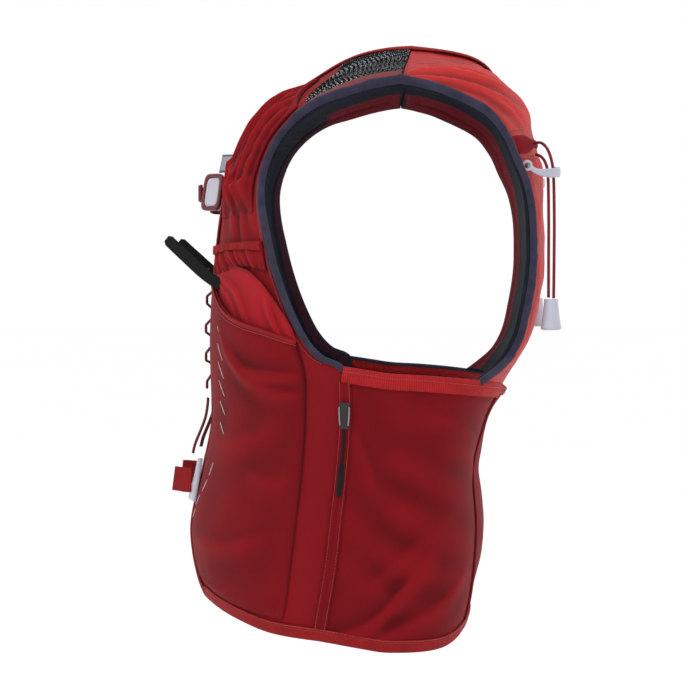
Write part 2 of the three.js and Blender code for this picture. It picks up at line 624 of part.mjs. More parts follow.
// A flat buckle: a rim with a bare face inside it, turned a little outward
function addBuckle(name, side, anchor) {
  const lean = upTheEdge(side, -0.207);
  const [w, h] = [BUCKLE_WIDTH / 2, BUCKLE_HEIGHT / 2];
  const rim = plate(w, h, 3.5);
  rim.holes.push(plate(w - BUCKLE_RIM, h - BUCKLE_RIM, 2));
  const gap = BUCKLE_RIM + LAYER_GAP;
  const pieces = [['buckle_rim', rim, BUCKLE_THICKNESS, DARK_RED],
    ['buckle_face', plate(w - gap, h - gap, 2), 0.7 * BUCKLE_THICKNESS, PALE_GREY]];
  for (const [piece, shape, depth, color] of pieces) {
    const geometry = new THREE.ExtrudeGeometry(shape, { depth, bevelEnabled: false, curveSegments: 2 });
    geometry.translate(0, 0, -depth / 2).rotateX(Math.PI / 2);
    geometry.rotateZ(side * BUCKLE_TURN).rotateX(-Math.atan2(lean.y, lean.z));
    geometry.translate(anchor.x - side * 7.2, anchor.y - 7.6, anchor.z);
    add(`${piece}_${name}`, geometry, color, 0.5);
  }
}

function plate(w, h, r) {
  const shape = new THREE.Shape();
  shape.moveTo(r - w, -h).lineTo(w - r, -h).absarc(w - r, r - h, r, -Math.PI / 2, 0);
  shape.lineTo(w, h - r).absarc(w - r, h - r, r, 0, Math.PI / 2);
  shape.lineTo(r - w, h).absarc(r - w, h - r, r, Math.PI / 2, Math.PI);
  shape.lineTo(-w, r - h).absarc(r - w, r - h, r, Math.PI, 1.5 * Math.PI);
  return shape;
}

// The tab that opens the flask pocket stands out forward from its mouth
function addPullTab(name, side) {
  const root = onBody(new THREE.Vector2(27.5, -0.369), layer(1, 0) + WEBBING, side);
  const tab = places(side, [[0, 0, 0], [-5, -14, 7.5], [-11, -27, 20], [-17, -41, 34]], root);
  const facing = new THREE.Vector3(side * 0.94, -0.34, 0);
  add(`pull_tab_${name}`, carried(stationsAlong(tab, facing), oblong(PULL_TAB_WIDTH, WEBBING)), BLACK, 0.6);
}

// The lower strap ends in a clip on the front edge, with a webbing tab to pull it
function addLowerStrap(name, side) {
  const low = (height) => layer(1, height) + EDGING_THICKNESS + 2 * LAYER_GAP;
  const strap = [[16.2, -0.57], [15.9, -0.61], [15.8, -0.65], [15.8, -0.676]];
  const run = strap.map(([angle, height]) => new THREE.Vector2(angle, height));
  const over = (height) => low(height) + WEBBING / 2;
  add(`lower_strap_${name}`, carried(stationsOn(run, over, side), oblong(EDGING_WIDTH, WEBBING)), DARK_RED);
  const clip = patch(
    line([[14.6, -0.758], [22.4, -0.758]]), line([[15, -0.682], [17.4, -0.682]]),
    line([[14.6, -0.758], [15, -0.682]]), line([[22.4, -0.758], [17.4, -0.682]]),
  );
  const onEdging = () => EDGING_THICKNESS + 1.4 * LAYER_GAP;
  const sheet = cloth(clip, steps(2), steps(3), side, onEdging, 1, 2 * WEBBING);
  add(`edge_clip_${name}`, wall([sheet]), PALE_GREY, 0.45);
  const root = onBody(new THREE.Vector2(18, -0.724), low(-0.7) + 2 * WEBBING + 4.6 * LAYER_GAP, side);
  const tab = places(side, [[0, 0, 0], [-2.5, -4.5, 0], [-6, -9, 0.6], [-9, -13.5, 1]], root);
  const pull = carried(stationsAlong(tab, upTheEdge(side, -0.724)), oblong(WEBBING, TAB_HEIGHT));
  add(`lower_tab_${name}`, pull, BRIGHT_RED);
}

// One elastic lace zigzags across the gap between the two front edges and turns at each
function addLacing() {
  const turns = Array.from({ length: LACE_TURNS }, (_, k) => {
    const side = k % 2 ? -1 : 1;
    const height = (LACE_TOP - (LACE_PITCH / 2) * k) / BODY_DROP;
    const out = layer(1, height) + EDGING_THICKNESS + 2 * LAYER_GAP + LACE_DIAMETER / 2;
    const at = onBody(new THREE.Vector2(16.4, height), out, side);
    return places(side, [[-3.5, -0.4, 2.6], [0, 0, 0], [-3.5, -0.4, -2.6]], at);
  }).flat();
  const facing = new THREE.Vector3(0, -1, 0);
  add('front_lace', carried(stationsAlong(turns, facing), oval(LACE_DIAMETER, LACE_DIAMETER, 6)), DARK_RED);
}

addLinings();
addShells();
addBackPockets();
addFrontPockets();
addEdges();
addZipSliders();
addDrawcords();
addFrontClosure();

export default vest;
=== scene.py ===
import math

import bpy
import numpy as np
from bpy.props import FloatProperty, FloatVectorProperty, PointerProperty
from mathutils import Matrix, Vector


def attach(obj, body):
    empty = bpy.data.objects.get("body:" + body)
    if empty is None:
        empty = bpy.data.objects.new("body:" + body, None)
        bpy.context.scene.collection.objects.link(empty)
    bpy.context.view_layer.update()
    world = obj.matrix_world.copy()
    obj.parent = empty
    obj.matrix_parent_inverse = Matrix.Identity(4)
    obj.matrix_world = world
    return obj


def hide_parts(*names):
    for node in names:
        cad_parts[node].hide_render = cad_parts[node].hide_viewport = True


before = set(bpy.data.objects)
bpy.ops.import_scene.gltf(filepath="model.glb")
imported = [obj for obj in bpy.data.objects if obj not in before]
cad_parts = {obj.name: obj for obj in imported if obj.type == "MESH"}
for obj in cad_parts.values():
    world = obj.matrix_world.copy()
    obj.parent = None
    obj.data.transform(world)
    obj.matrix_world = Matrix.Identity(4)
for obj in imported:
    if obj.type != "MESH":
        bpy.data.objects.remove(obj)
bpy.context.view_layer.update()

bl_info = {
    "name": "Running Hydration Vest",
    "version": (1, 0, 0),
    "blender": (4, 5, 0),
    "location": "3D View > Sidebar > Vest",
    "description": "Dresses the packed solids of a running hydration vest in cloth, padding, cords and fittings",
    "category": "Object",
}

# +Z up, the wearer faces -Y, the wearer's left is +X, metres. The origin is midway between the shoulder seats.
MM = 0.001
SIDES = (("left", 1), ("right", -1))

# Level sections of the body as shares: height of the drop, half width, and middle, front and back of the depth
SECTIONS = np.array([
    [0.072, 0.286, 0.061, -0.061, 0.165], [0.039, 0.404, 0.052, -0.139, 0.225], [0.019, 0.522, 0.043, -0.195, 0.26],
    [-0.01, 0.683, 0.026, -0.26, 0.299], [-0.034, 0.783, 0.017, -0.32, 0.329], [-0.072, 0.876, 0, -0.403, 0.372],
    [-0.133, 0.938, -0.017, -0.485, 0.411], [-0.217, 0.975, -0.035, -0.541, 0.433],
    [-0.313, 0.994, -0.043, -0.563, 0.437],
    [-0.422, 1, -0.052, -0.576, 0.411], [-0.518, 0.994, -0.069, -0.58, 0.342], [-0.602, 0.975, -0.095, -0.584, 0.273],
    [-0.699, 0.95, -0.13, -0.615, 0.234], [-0.807, 0.932, -0.165, -0.654, 0.251],
    [-0.904, 0.913, -0.182, -0.632, 0.234],
    [-1.01, 0.894, -0.19, -0.606, 0.19],
])
FRONT_ROUNDNESS, BACK_ROUNDNESS = 2.1, 4.0

# The free stretch of each drawcord, from its eyelet in the bag to the cord lock, and the hook that holds it out.
# A row is an angle and a height of the body and the millimetres out from the outer cloth.
CORD_ROUTES = {
    "drawcord_1": [
        [146.4, -0.127, 3.4], [145.9, -0.128, 8.6], [145.2, -0.137, 12.5], [145, -0.156, 14.6],
        [144.9, -0.184, 14.6], [145.3, -0.25, 13.1], [145.6, -0.318, 12.4], [145.8, -0.382, 15],
    ],
    "drawcord_2": [
        [146.2, -0.145, 3.6], [145.5, -0.15, 7.2], [145.1, -0.162, 10], [145, -0.184, 10.5],
        [145.3, -0.25, 9], [145.6, -0.318, 8.4], [145.8, -0.382, 11.2],
    ],
}
HOOK_ROUTE = [
    [139.6, -0.172, 1], [141.1, -0.173, 4.1], [142.6, -0.175, 9.1], [143.5, -0.177, 14.4],
    [144.1, -0.178, 18], [145.3, -0.178, 18.8], [146.2, -0.178, 16.7], [146.3, -0.176, 12.9],
]


class VestSizes(bpy.types.PropertyGroup):
    """The lengths that the whole vest is worked out from."""


class VestColours(bpy.types.PropertyGroup):
    """The base colours of the finishes."""


SIZE_ROWS = {
    "body_width": (0.322, "Width of the torso that the vest is shaped on"),
    "body_depth": (0.231, "Depth of the torso"),
    "body_drop": (0.415, "Height from the shoulder seats to the hem"),
    "padding": (0.005, "Thickness of the lining at the chest and back"),
    "low_padding": (0.002, "Thickness of the lining below the armholes"),
    "cloth": (0.0014, "Thickness of a cloth layer with its seams"),
    "gap": (0.0004, "Clearance between layers"),
    "piping_width": (0.006, "Width of the armhole piping"),
    "edging_width": (0.005, "Width of the edging round front and neck"),
    "hem_width": (0.008, "Width of the hem binding"),
    "top_binding_width": (0.010, "Width of the binding on top of the side panels"),
    "zip_tape_width": (0.009, "Width of the zip tape"),
    "seam_tape_width": (0.005, "Width of the tape on the rear seam"),
    "bag_bulge": (0.007, "How far the back bag stands off"),
    "back_pocket_bulge": (0.006, "How far the lower back pocket stands off"),
    "back_pocket_mouth": (0.0046, "How far its mouth gapes"),
    "flask_bulge": (0.009, "How far the flask pockets stand off"),
    "chest_bulge": (0.013, "How far the chest pockets stand off"),
    "sleeve_bulge": (0.007, "How far the gathered sleeves stand off"),
    "side_fold": (0.0016, "Height of the folds in the side panels"),
    "cord_diameter": (0.0022, "Diameter of the drawcords"),
    "lace_diameter": (0.0024, "Diameter of the front lace"),
    "webbing": (0.0016, "Thickness of straps and tabs"),
}
COLOUR_ROWS = {
    "crimson": ((0.165, 0.0028, 0.0062), "Stretch cloth of side panels and flask pockets"),
    "bright": ((0.20, 0.0045, 0.0085), "Stretch cloth of the front"),
    "nylon": ((0.42, 0.018, 0.017), "Light nylon of the back bag"),
    "binding": ((0.27, 0.008, 0.010), "Bindings and tapes"),
    "navy": ((0.012, 0.015, 0.028), "Padded lining"),
    "slate": ((0.036, 0.033, 0.062), "Armhole piping"),
    "black": ((0.008, 0.008, 0.009), "Spacer mesh and tabs"),
    "pale": ((0.47, 0.46, 0.54), "Plastic fittings"),
    "cord": ((0.20, 0.008, 0.016), "Drawcords"),
    "webbing": ((0.11, 0.004, 0.008), "Straps and lace"),
    "ribbon": ((0.30, 0.31, 0.34), "Ribbon loops"),
}
for key, (value, note) in SIZE_ROWS.items():
    VestSizes.__annotations__ = {**VestSizes.__dict__.get("__annotations__", {}), key: FloatProperty(
        name=key.replace("_", " ").capitalize(), description=note, default=value, min=0.0, subtype="DISTANCE",
        unit="LENGTH")}
for key, (value, note) in COLOUR_ROWS.items():
    VestColours.__annotations__ = {**VestColours.__dict__.get("__annotations__", {}), key: FloatVectorProperty(
        name=key.capitalize(), description=note, default=value, min=0.0, max=1.0, subtype="COLOR", size=3)}


def size(name):
    """A length of the vest, in metres."""
    return getattr(bpy.context.scene.vest_sizes, name)


def colour(name, brighter=1.0):
    """A base colour times a factor, no channel over 1, with full alpha."""
    return [min(1.0, c * brighter) for c in getattr(bpy.context.scene.vest_colours, name)] + [1.0]


def smooth(low, high, value):
    """The S curve 3t^2 - 2t^3 between two values."""
    t = np.clip((np.asarray(value, float) - low) / (high - low), 0, 1)
    return t * t * (3 - 2 * t)


def hill(share):
    """Half a sine wave: 0 at both ends, 1 in the middle."""
    return np.maximum(np.sin(np.pi * np.clip(share, 0, 1)), 0)


def section_value(column, height):
    """Monotone cubic through a column of the sections: Hermite pieces whose slopes are harmonic means."""
    x, y = -SECTIONS[:, 0], SECTIONS[:, column]
    step = np.diff(x)
    slope = np.diff(y) / step
    product, total = slope[1:] * slope[:-1], slope[1:] + slope[:-1]
    middle = np.where(product > 0, 2 * product / np.where(product > 0, total, 1), 0)
    tangent = np.concatenate([slope[:1], middle, slope[-1:]])
    at = np.clip(-height, x[0], x[-1])
    i = np.clip(np.searchsorted(x, at, side="right") - 1, 0, len(step) - 1)
    t = (at - x[i]) / step[i]
    rise = t * t * (3 - 2 * t)
    bend = t * (1 - t) ** 2 * tangent[i] + t * t * (t - 1) * tangent[i + 1]
    return y[i] * (1 - rise) + y[i + 1] * rise + bend * step[i]


def body_point(angle, height):
    """A level section is a superellipse: x and y are shares of sine and cosine, stretched to |s|^n + |c|^n = 1."""
    turn = np.radians(angle)
    power = np.where(angle < 90, FRONT_ROUNDNESS, BACK_ROUNDNESS)
    s, c = np.sin(turn), np.cos(turn)
    reach = (np.abs(s) ** power + np.abs(c) ** power) ** (-1 / power)
    middle = section_value(2, height)
    end = np.where(angle < 90, section_value(3, height), section_value(4, height))
    return np.stack([
        size("body_width") / 2 * section_value(1, height) * s * reach,
        size("body_depth") * (middle + (end - middle) * np.abs(c) * reach),
        size("body_drop") * height,
    ], axis=-1)


def unit(vectors):
    """Vectors over their lengths."""
    return vectors / np.maximum(np.linalg.norm(vectors, axis=-1, keepdims=True), 1e-12)


def outward(spots):
    """The body's normal, from differences round and up."""
    angle, height = spots[..., 0], spots[..., 1]
    turn = body_point(angle + 0.2, height) - body_point(angle - 0.2, height)
    rise = body_point(angle, height + 0.002) - body_point(angle, height - 0.002)
    return unit(np.cross(turn, rise))


def on_body(spots, offset, side=1):
    """Points that stand off the body by offset; side -1 mirrors them to the wearer's right."""
    points = body_point(spots[..., 0], spots[..., 1]) + outward(spots) * np.asarray(offset)[..., None]
    points[..., 0] *= side
    return points


def line(rows):
    """A Catmull-Rom spline through rows of angle and height, its parameter even from row to row."""
    rows = np.array(rows, float)
    last = len(rows) - 1

    def at(share):
        p = np.clip(share, 0, 1) * last
        i = np.minimum(np.floor(p).astype(int), last - 1)
        t = (p - i)[..., None]
        a, b = rows[np.maximum(i - 1, 0)], rows[i]
        c, d = rows[i + 1], rows[np.minimum(i + 2, last)]
        enter, leave = (c - a) / 2, (d - b) / 2
        return (2 * b - 2 * c + enter + leave) * t**3 + (3 * c - 3 * b - 2 * enter - leave) * t**2 + enter * t + b

    return at


def patch(bottom, top, left, right):
    """Coons patch: the mean of the two ways across, less the bilinear blend of the corners."""
    def place(u, v):
        u, v = np.broadcast_arrays(np.asarray(u, float), np.asarray(v, float))
        zero, one, a, b = np.zeros_like(u), np.ones_like(u), u[..., None], v[..., None]
        across = bottom(u) * (1 - b) + top(u) * b
        up = left(v) * (1 - a) + right(v) * a
        corners = (left(zero) * (1 - a) + right(zero) * a) * (1 - b) + (left(one) * (1 - a) + right(one) * a) * b
        return across + up - corners
    return place


FRONT_SEAM = [
    [83.8, -0.973], [85.2, -0.93], [86.6, -0.88], [87.3, -0.82], [86.7, -0.755], [85.6, -0.69], [84.2, -0.63],
    [82.5, -0.57], [80.4, -0.509],
]
ARMHOLE_FRONT = [
    [72.8, -0.488], [66.8, -0.456], [60.6, -0.402], [55.2, -0.342], [50.7, -0.282], [46.9, -0.231], [44.2, -0.18],
    [44.2, -0.13], [47.8, -0.089], [54.8, -0.063], [64, -0.05], [74, -0.038], [83, -0.031], [90, -0.028],
]
FRONT_EDGE = [
    [27, -0.918], [20.5, -0.896], [17, -0.862], [15.8, -0.815], [15.5, -0.76], [15.5, -0.705], [15.6, -0.655],
    [15.7, -0.61], [15.7, -0.57], [15.8, -0.53], [16, -0.495], [16.3, -0.445], [16.6, -0.385], [17.1, -0.32],
    [17.9, -0.255], [19, -0.19], [20.6, -0.135], [23, -0.082], [27.5, -0.03], [36.5, 0.006], [50, 0.025],
    [70, 0.035], [90, 0.0385],
]
ARMHOLE_BACK = [
    [131, -0.529], [135.3, -0.512], [140.7, -0.488], [142.6, -0.46], [142.5, -0.42], [142.8, -0.37], [143, -0.31],
    [142.7, -0.25], [139.7, -0.198], [135.6, -0.156], [132.2, -0.114], [126.5, -0.077], [112, -0.046], [100, -0.034],
    [90, -0.028],
]
CENTRE_AND_NECK = [
    *[[180, h] for h in (-0.538, -0.5, -0.46, -0.415, -0.365, -0.31, -0.255, -0.195, -0.135, -0.075, -0.01)],
    [164, -0.003], [143, 0.015], [117, 0.03], [90, 0.0385],
]
REAR_SEAM = line([
    [147.2, -0.969], [148.6, -0.887], [148, -0.814], [151.7, -0.725], [152, -0.63], [150, -0.537],
])
SIDE = patch(
    line([[83.8, -0.973], [102, -0.986], [114.4, -0.993], [133.5, -0.99], [147.2, -0.969]]),
    line([[80.4, -0.509], [96, -0.52], [112, -0.524], [131, -0.53], [150, -0.537]]),
    line(FRONT_SEAM), REAR_SEAM,
)
FRONT = patch(
    line([[27, -0.918], [49.5, -0.946], [64.6, -0.963], [83.8, -0.973]]),
    line([[90, 0.0385], [90, 0.005], [90, -0.028]]),
    line(FRONT_EDGE), line(FRONT_SEAM + ARMHOLE_FRONT),
)
UPPER_BACK = patch(
    line([[131, -0.529], [150, -0.535], [180, -0.538]]),
    line([[90, -0.028], [90, 0.005], [90, 0.0385]]),
    line(ARMHOLE_BACK), line(CENTRE_AND_NECK),
)
LOWER_BACK = patch(
    line([[147.2, -0.969], [163, -0.957], [180, -0.954]]),
    line([[150, -0.537], [165, -0.54], [180, -0.541]]),
    REAR_SEAM, line([[180, -0.954], [180, -0.75], [180, -0.541]]),
)
FLASK = patch(
    line([[29, -0.895], [42, -0.915], [56, -0.93], [69.5, -0.94]]),
    line([[19, -0.36], [30, -0.4], [37.7, -0.423], [45.1, -0.438], [53.5, -0.45], [64.5, -0.468]]),
    line([[29, -0.895], [21.5, -0.868], [19, -0.8], [18.6, -0.68], [18.7, -0.5], [19, -0.36]]),
    line([[69.5, -0.94], [71.4, -0.904], [73.4, -0.802], [72, -0.699], [69.5, -0.598], [68, -0.522], [64.5, -0.468]]),
)
SLEEVE = patch(
    line([[21.5, -0.347], [30.1, -0.347], [38.4, -0.338], [45, -0.338], [52, -0.345]]),
    line([[23, -0.303], [30, -0.3], [40, -0.297], [49.5, -0.294]]),
    line([[21.5, -0.347], [23, -0.303]]), line([[52, -0.345], [49.5, -0.294]]),
)
CHEST = patch(
    line([[21.5, -0.25], [30, -0.252], [38, -0.25], [43.5, -0.243]]),
    line([[37, -0.018], [38.5, -0.045], [45.5, -0.07]]),
    line([[21.5, -0.25], [22, -0.19], [23.5, -0.13], [26, -0.08], [31, -0.04], [37, -0.018]]),
    line([[43.5, -0.243], [41, -0.19], [40.6, -0.135], [42.5, -0.1], [45.5, -0.07]]),
)
NECK_CORNER = 10 / 14
MESH_FROM_U = 0.1


def mesh_from(u):
    """The share of the strap's height at which the shoulder mesh begins: a slant, lowest beside the armhole."""
    return 19.2 / 22 - 1.3 / 22 * smooth(0.2, 0.75, u)


def padding(height):
    """Thickness of the lining: an S curve from the low to the full one at the foot of the armholes."""
    low, full = size("low_padding"), size("padding")
    return low + (full - low) * smooth(-0.62, -0.45, height)


def layer(number, height):
    """Distance from the body of the inner face of a cloth layer; 0 lies on the padding."""
    return padding(height) + size("gap") + number * (size("cloth") + size("gap"))


def share_of_rise(name):
    """The width of a binding as a share of the rise of a side, flask or lower back patch."""
    return size(name) / (0.48 * size("body_drop"))


def off_the_cloth(rows, side):
    """Points at rows of angle, height and millimetres out from the outer cloth."""
    rows = np.array(rows, float)
    return on_body(rows[:, :2], layer(1, rows[:, 1]) + rows[:, 2] * MM, side)


def even(count, low=0.0, high=1.0):
    """Steps of one length."""
    return np.linspace(low, high, count + 1)


def eased(count, low=0.0, high=1.0, ease=0.6):
    """Steps that lie closer together near both ends."""
    t = np.linspace(0, 1, count + 1)
    return low + (high - low) * ((1 - ease) * t + ease * (1 - np.cos(np.pi * t)) / 2)


def both_halves(us):
    """Columns from the left seam to the centre and on to the right seam, and the side of each."""
    return np.concatenate([us, us[::-1]]), np.concatenate([np.ones(len(us)), -np.ones(len(us))])


def parted_at_neck(us, vs):
    """Which cells of a back piece are cloth: the middle ones only below the neck."""
    keep = np.ones((len(vs) - 1, 2 * len(us) - 1), bool)
    keep[(vs[1:] + vs[:-1]) / 2 > NECK_CORNER, len(us) - 1] = False
    return keep


def ripple(x, y, seed, length, count=9):
    """A sum of sine waves with seeded directions and phases, about 1 high."""
    rng = np.random.default_rng(seed)
    total = 0
    for turn, phase, stretch in zip(rng.uniform(0, np.pi, count), rng.uniform(0, 6.28, count),
                                    rng.uniform(0.6, 1.7, count)):
        total = total + np.sin((x * math.cos(turn) + y * math.sin(turn)) * 6.28 * stretch / length + phase)
    return total / math.sqrt(count)


def creases(x, y, rows):
    """Folds along bowed lines: each row has its two ends, bow, half width and height, in millimetres, and x and y are
    metres. The height falls off as exp(-d^2), steeper on one side, and fades towards both ends."""
    total = 0
    for x0, y0, x1, y1, bow, half, height in np.array(rows, float) * MM:
        length = math.hypot(x1 - x0, y1 - y0)
        ax, ay = (x1 - x0) / length, (y1 - y0) / length
        along = ((x - x0) * ax + (y - y0) * ay) / length
        off = (y - y0) * ax - (x - x0) * ay - bow * hill(along)
        width = half * np.where(off > 0, 0.6, 1.5)
        total = total + height * np.exp(-((off / width) ** 2)) * smooth(-0.15, 0.3, along) * smooth(1.15, 0.7, along)
    return total


def measure(points):
    """Distance along each row and up each column of a grid, the cloth's own two coordinates."""
    along = np.cumsum(np.linalg.norm(np.diff(points, axis=1, prepend=points[:, :1]), axis=-1), axis=1)
    up = np.cumsum(np.linalg.norm(np.diff(points, axis=0, prepend=points[:1]), axis=-1), axis=0)
    middle = points.shape[1] // 2
    return np.stack([along - along[:, middle:middle + 1], up], axis=-1)


def rim_distance(points):
    """How far each point of a grid lies from the nearest edge of it."""
    cloth = measure(points)
    along, up = cloth[..., 0] - cloth[:, :1, 0], cloth[..., 1]
    return np.minimum(np.minimum(along, along[:, -1:] - along), np.minimum(up, up[-1:] - up))


def signed_volume(points, groups):
    """Six times the volume: the sum of a . (b x c) over the triangles of every face; below 0 if inside out."""
    total = 0.0
    for faces in groups:
        for k in range(1, faces.shape[1] - 1):
            a, b, c = points[faces[:, 0]], points[faces[:, k]], points[faces[:, k + 1]]
            total += np.einsum("ij,ij->i", a, np.cross(b, c)).sum()
    return total


def piece(name, points, groups, finish, uvs=None, stands_for=(), slot=None, marks=None):
    """Makes a mesh from points and groups of faces of equal length, faces outwards, with the cloth's own coordinates
    for each corner, lets it ride on the vest and hides the parts that it stands for."""
    points = np.asarray(points, float)
    if signed_volume(points, groups) < 0:
        groups = [faces[:, ::-1] for faces in groups]
        uvs = None if uvs is None else [uv[:, ::-1] for uv in uvs]
    mesh = bpy.data.meshes.new(name)
    corners = np.concatenate([faces.ravel() for faces in groups]).astype(np.int32)
    counts = np.concatenate([np.full(len(faces), faces.shape[1]) for faces in groups])
    mesh.vertices.add(len(points))
    mesh.vertices.foreach_set("co", points.astype(np.float32).ravel())
    mesh.loops.add(len(corners))
    mesh.loops.foreach_set("vertex_index", corners)
    mesh.polygons.add(len(counts))
    mesh.polygons.foreach_set("loop_start", (np.cumsum(counts) - counts).astype(np.int32))
    mesh.polygons.foreach_set("use_smooth", np.full(len(counts), True))
    mesh.update(calc_edges=True)
    if uvs is not None:
        flat_uvs = np.concatenate([uv.reshape(-1, 2) for uv in uvs]).astype(np.float32)
        mesh.uv_layers.new(name="cloth").data.foreach_set("uv", flat_uvs.ravel())
    for key, values in (marks or {}).items():
        mesh.attributes.new(key, "FLOAT", "POINT").data.foreach_set("value", np.asarray(values, np.float32).ravel())
    mesh.materials.append(finish)
    made = bpy.data.objects.new(name, mesh)
    bpy.context.scene.collection.objects.link(made)
    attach(made, "root")
    if stands_for:
        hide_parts(*([stands_for] if isinstance(stands_for, str) else stands_for))
    return made


def wall(name, outer, inner, finish, keep=None, marks=None, **told):
    """A closed shell between two grids of points: both faces, and a rim along every edge where the cloth ends."""
    rows, columns = outer.shape[:2]
    count = rows * columns
    index = np.arange(count).reshape(rows, columns)
    quads = np.stack([index[:-1, :-1], index[:-1, 1:], index[1:, 1:], index[1:, :-1]], -1).reshape(-1, 4)
    if keep is not None:
        quads = quads[keep.ravel()]
    ends = np.stack([quads.ravel(), np.roll(quads, -1, axis=1).ravel()], 1)
    free = ~np.isin(ends[:, 1] * count + ends[:, 0], ends[:, 0] * count + ends[:, 1])
    a, b = ends[free].T
    faces = np.concatenate([quads, quads[:, ::-1] + count, np.stack([b, a, a + count, b + count], 1)])
    cloth = measure(outer).reshape(-1, 2)
    cloth = np.concatenate([cloth, cloth])
    points = np.concatenate([outer.reshape(-1, 3), inner.reshape(-1, 3)])
    used, faces = np.unique(faces, return_inverse=True)
    faces = faces.reshape(-1, 4)
    marks = {key: np.ravel(np.broadcast_to(v, (2, rows, columns)))[used] for key, v in (marks or {}).items()}
    return piece(name, points[used], [faces], finish, [cloth[used][faces]], marks=marks, **told)


def frames(points, out):
    """Directions at each point of a path: ahead, across to the right of travel, and out."""
    ahead = unit(np.gradient(points, axis=0))
    across = unit(np.cross(ahead, out))
    return ahead, across, np.cross(across, ahead)


def carried(name, points, out, profile, finish, **told):
    """A profile of (across, out) places carried along a path, one profile for all stations or one for each."""
    _, across, up = frames(points, out)
    profile = np.broadcast_to(profile, (len(points), *profile.shape[-2:]))
    grid = points[:, None] + across[:, None] * profile[..., :1] + up[:, None] * profile[..., 1:]
    return tube(name, grid, finish, **told)


def tube(name, grid, finish, **told):
    """Closes a grid of rings into a tube with flat ends."""
    rows, columns = grid.shape[:2]
    index = np.arange(rows * columns).reshape(rows, columns)
    ahead = np.roll(index, -1, axis=1)
    sides = np.stack([index[:-1], ahead[:-1], ahead[1:], index[1:]], -1).reshape(-1, 4)
    ring = np.linalg.norm(np.roll(grid, -1, axis=1) - grid, axis=-1)
    round_it = np.concatenate([np.zeros((rows, 1)), np.cumsum(ring, axis=1)], axis=1)
    centre = grid.mean(axis=1)
    up = np.concatenate([[0], np.cumsum(np.linalg.norm(np.diff(centre, axis=0), axis=-1))])
    up = np.broadcast_to(up[:, None], round_it.shape)
    cloth = np.stack([round_it, up], -1)
    uv = np.stack([cloth[:-1, :-1], cloth[:-1, 1:], cloth[1:, 1:], cloth[1:, :-1]], -2).reshape(-1, 4, 2)
    caps = np.stack([index[0][::-1], index[-1]])
    cap_uv = np.zeros((2, columns, 2))
    return piece(name, grid.reshape(-1, 3), [sides, caps], finish, [uv, cap_uv], **told)


def sized(profile, wide, tall):
    """One profile for each station: its places across times wide, its places out times tall."""
    wide, tall = np.broadcast_arrays(np.reshape(wide, (-1, 1)), np.reshape(tall, (-1, 1)))
    return np.stack([profile[None, :, 0] * wide, profile[None, :, 1] * tall], -1)


def oval(width, height, count):
    """An ellipse: half the width times the cosine, half the height times the sine."""
    turn = np.linspace(0, 2 * np.pi, count, endpoint=False)
    return np.stack([np.cos(turn) * width / 2, np.sin(turn) * height / 2], -1)


def strap_profile(width, thickness, count=5):
    """A flat band with round edges: two rows joined by half circles."""
    across = np.linspace(-1, 1, count) * (width - thickness) / 2
    turn = np.linspace(-np.pi / 2, np.pi / 2, 5)[1:-1]
    r = thickness / 2
    right = np.stack([(width - thickness) / 2 + r * np.cos(turn), r * np.sin(turn)], -1)
    low = np.stack([across, np.full(count, -r)], -1)
    return np.concatenate([low, right, -low, -right])


def resampled(points, step=None, count=None):
    """Points at even distances along a path."""
    length = np.concatenate([[0], np.cumsum(np.linalg.norm(np.diff(points, axis=0), axis=1))])
    count = count or max(int(round(length[-1] / step)), 1)
    at = np.linspace(0, length[-1], count + 1)
    return np.stack([np.interp(at, length, points[:, k]) for k in range(points.shape[1])], -1)


def smooth_path(rows, count):
    """A Catmull-Rom curve through points, evenly spaced."""
    return resampled(line(rows)(np.linspace(0, 1, 40 * len(rows))), count=count)


def stitches(name, rows, finish, pitch=2.9 * MM, length=2.1 * MM, width=0.6 * MM, **told):
    """Short threads laid along paths. Each is a three-sided spindle whose ends dip into the cloth. A row is points
    and the way out at each."""
    turn = np.linspace(0, 2 * np.pi, 3, endpoint=False) + np.pi / 2
    rings = [(-0.5, 0.4, -0.5), (0, 1.15, 0.15), (0.5, 0.4, -0.5)]
    shape = np.array([[s * length, r * width / 2 * math.cos(t), r * width / 2 * math.sin(t) + lift * width / 2]
                      for s, r, lift in rings for t in turn])
    index = np.arange(9).reshape(3, 3)
    ahead = np.roll(index, -1, axis=1)
    sides = np.stack([index[:-1], ahead[:-1], ahead[1:], index[1:]], -1).reshape(-1, 4)
    caps = np.stack([index[0][::-1], index[-1]])
    places, ups = [], []
    for points, out in rows:
        both = resampled(np.concatenate([points, out], axis=1), pitch)
        places.append(both[:, :3])
        ups.append(both[:, 3:])
    all_points, quads, ends = [], [], []
    start = 0
    for points, out in zip(places, ups):
        axes = np.stack(frames(points, out), axis=1)
        all_points.append((points[:, None] + np.einsum("kj,njc->nkc", shape, axes)).reshape(-1, 3))
        shift = start + 9 * np.arange(len(points))[:, None, None]
        quads.append((sides[None] + shift).reshape(-1, 4))
        ends.append((caps[None] + shift).reshape(-1, 3))
        start += 9 * len(points)
    return piece(name, np.concatenate(all_points), [np.concatenate(quads), np.concatenate(ends)], finish, **told)


def path_on(spots, offset, side):
    """A path on the body with the way out at each point."""
    out = outward(spots)
    out[..., 0] *= side
    return on_body(spots, np.broadcast_to(offset, spots.shape[:1]), side), out


def up_and_over(half):
    """A path up the left side and down the right one, with the way out and the height at each point."""
    left, left_out = path_on(half, 0.0, 1)
    right, right_out = path_on(half, 0.0, -1)
    points = np.concatenate([left, right[::-1][1:]])
    out = np.concatenate([left_out, right_out[::-1][1:]])
    return points, out, np.concatenate([half[:, 1], half[::-1, 1][1:]])


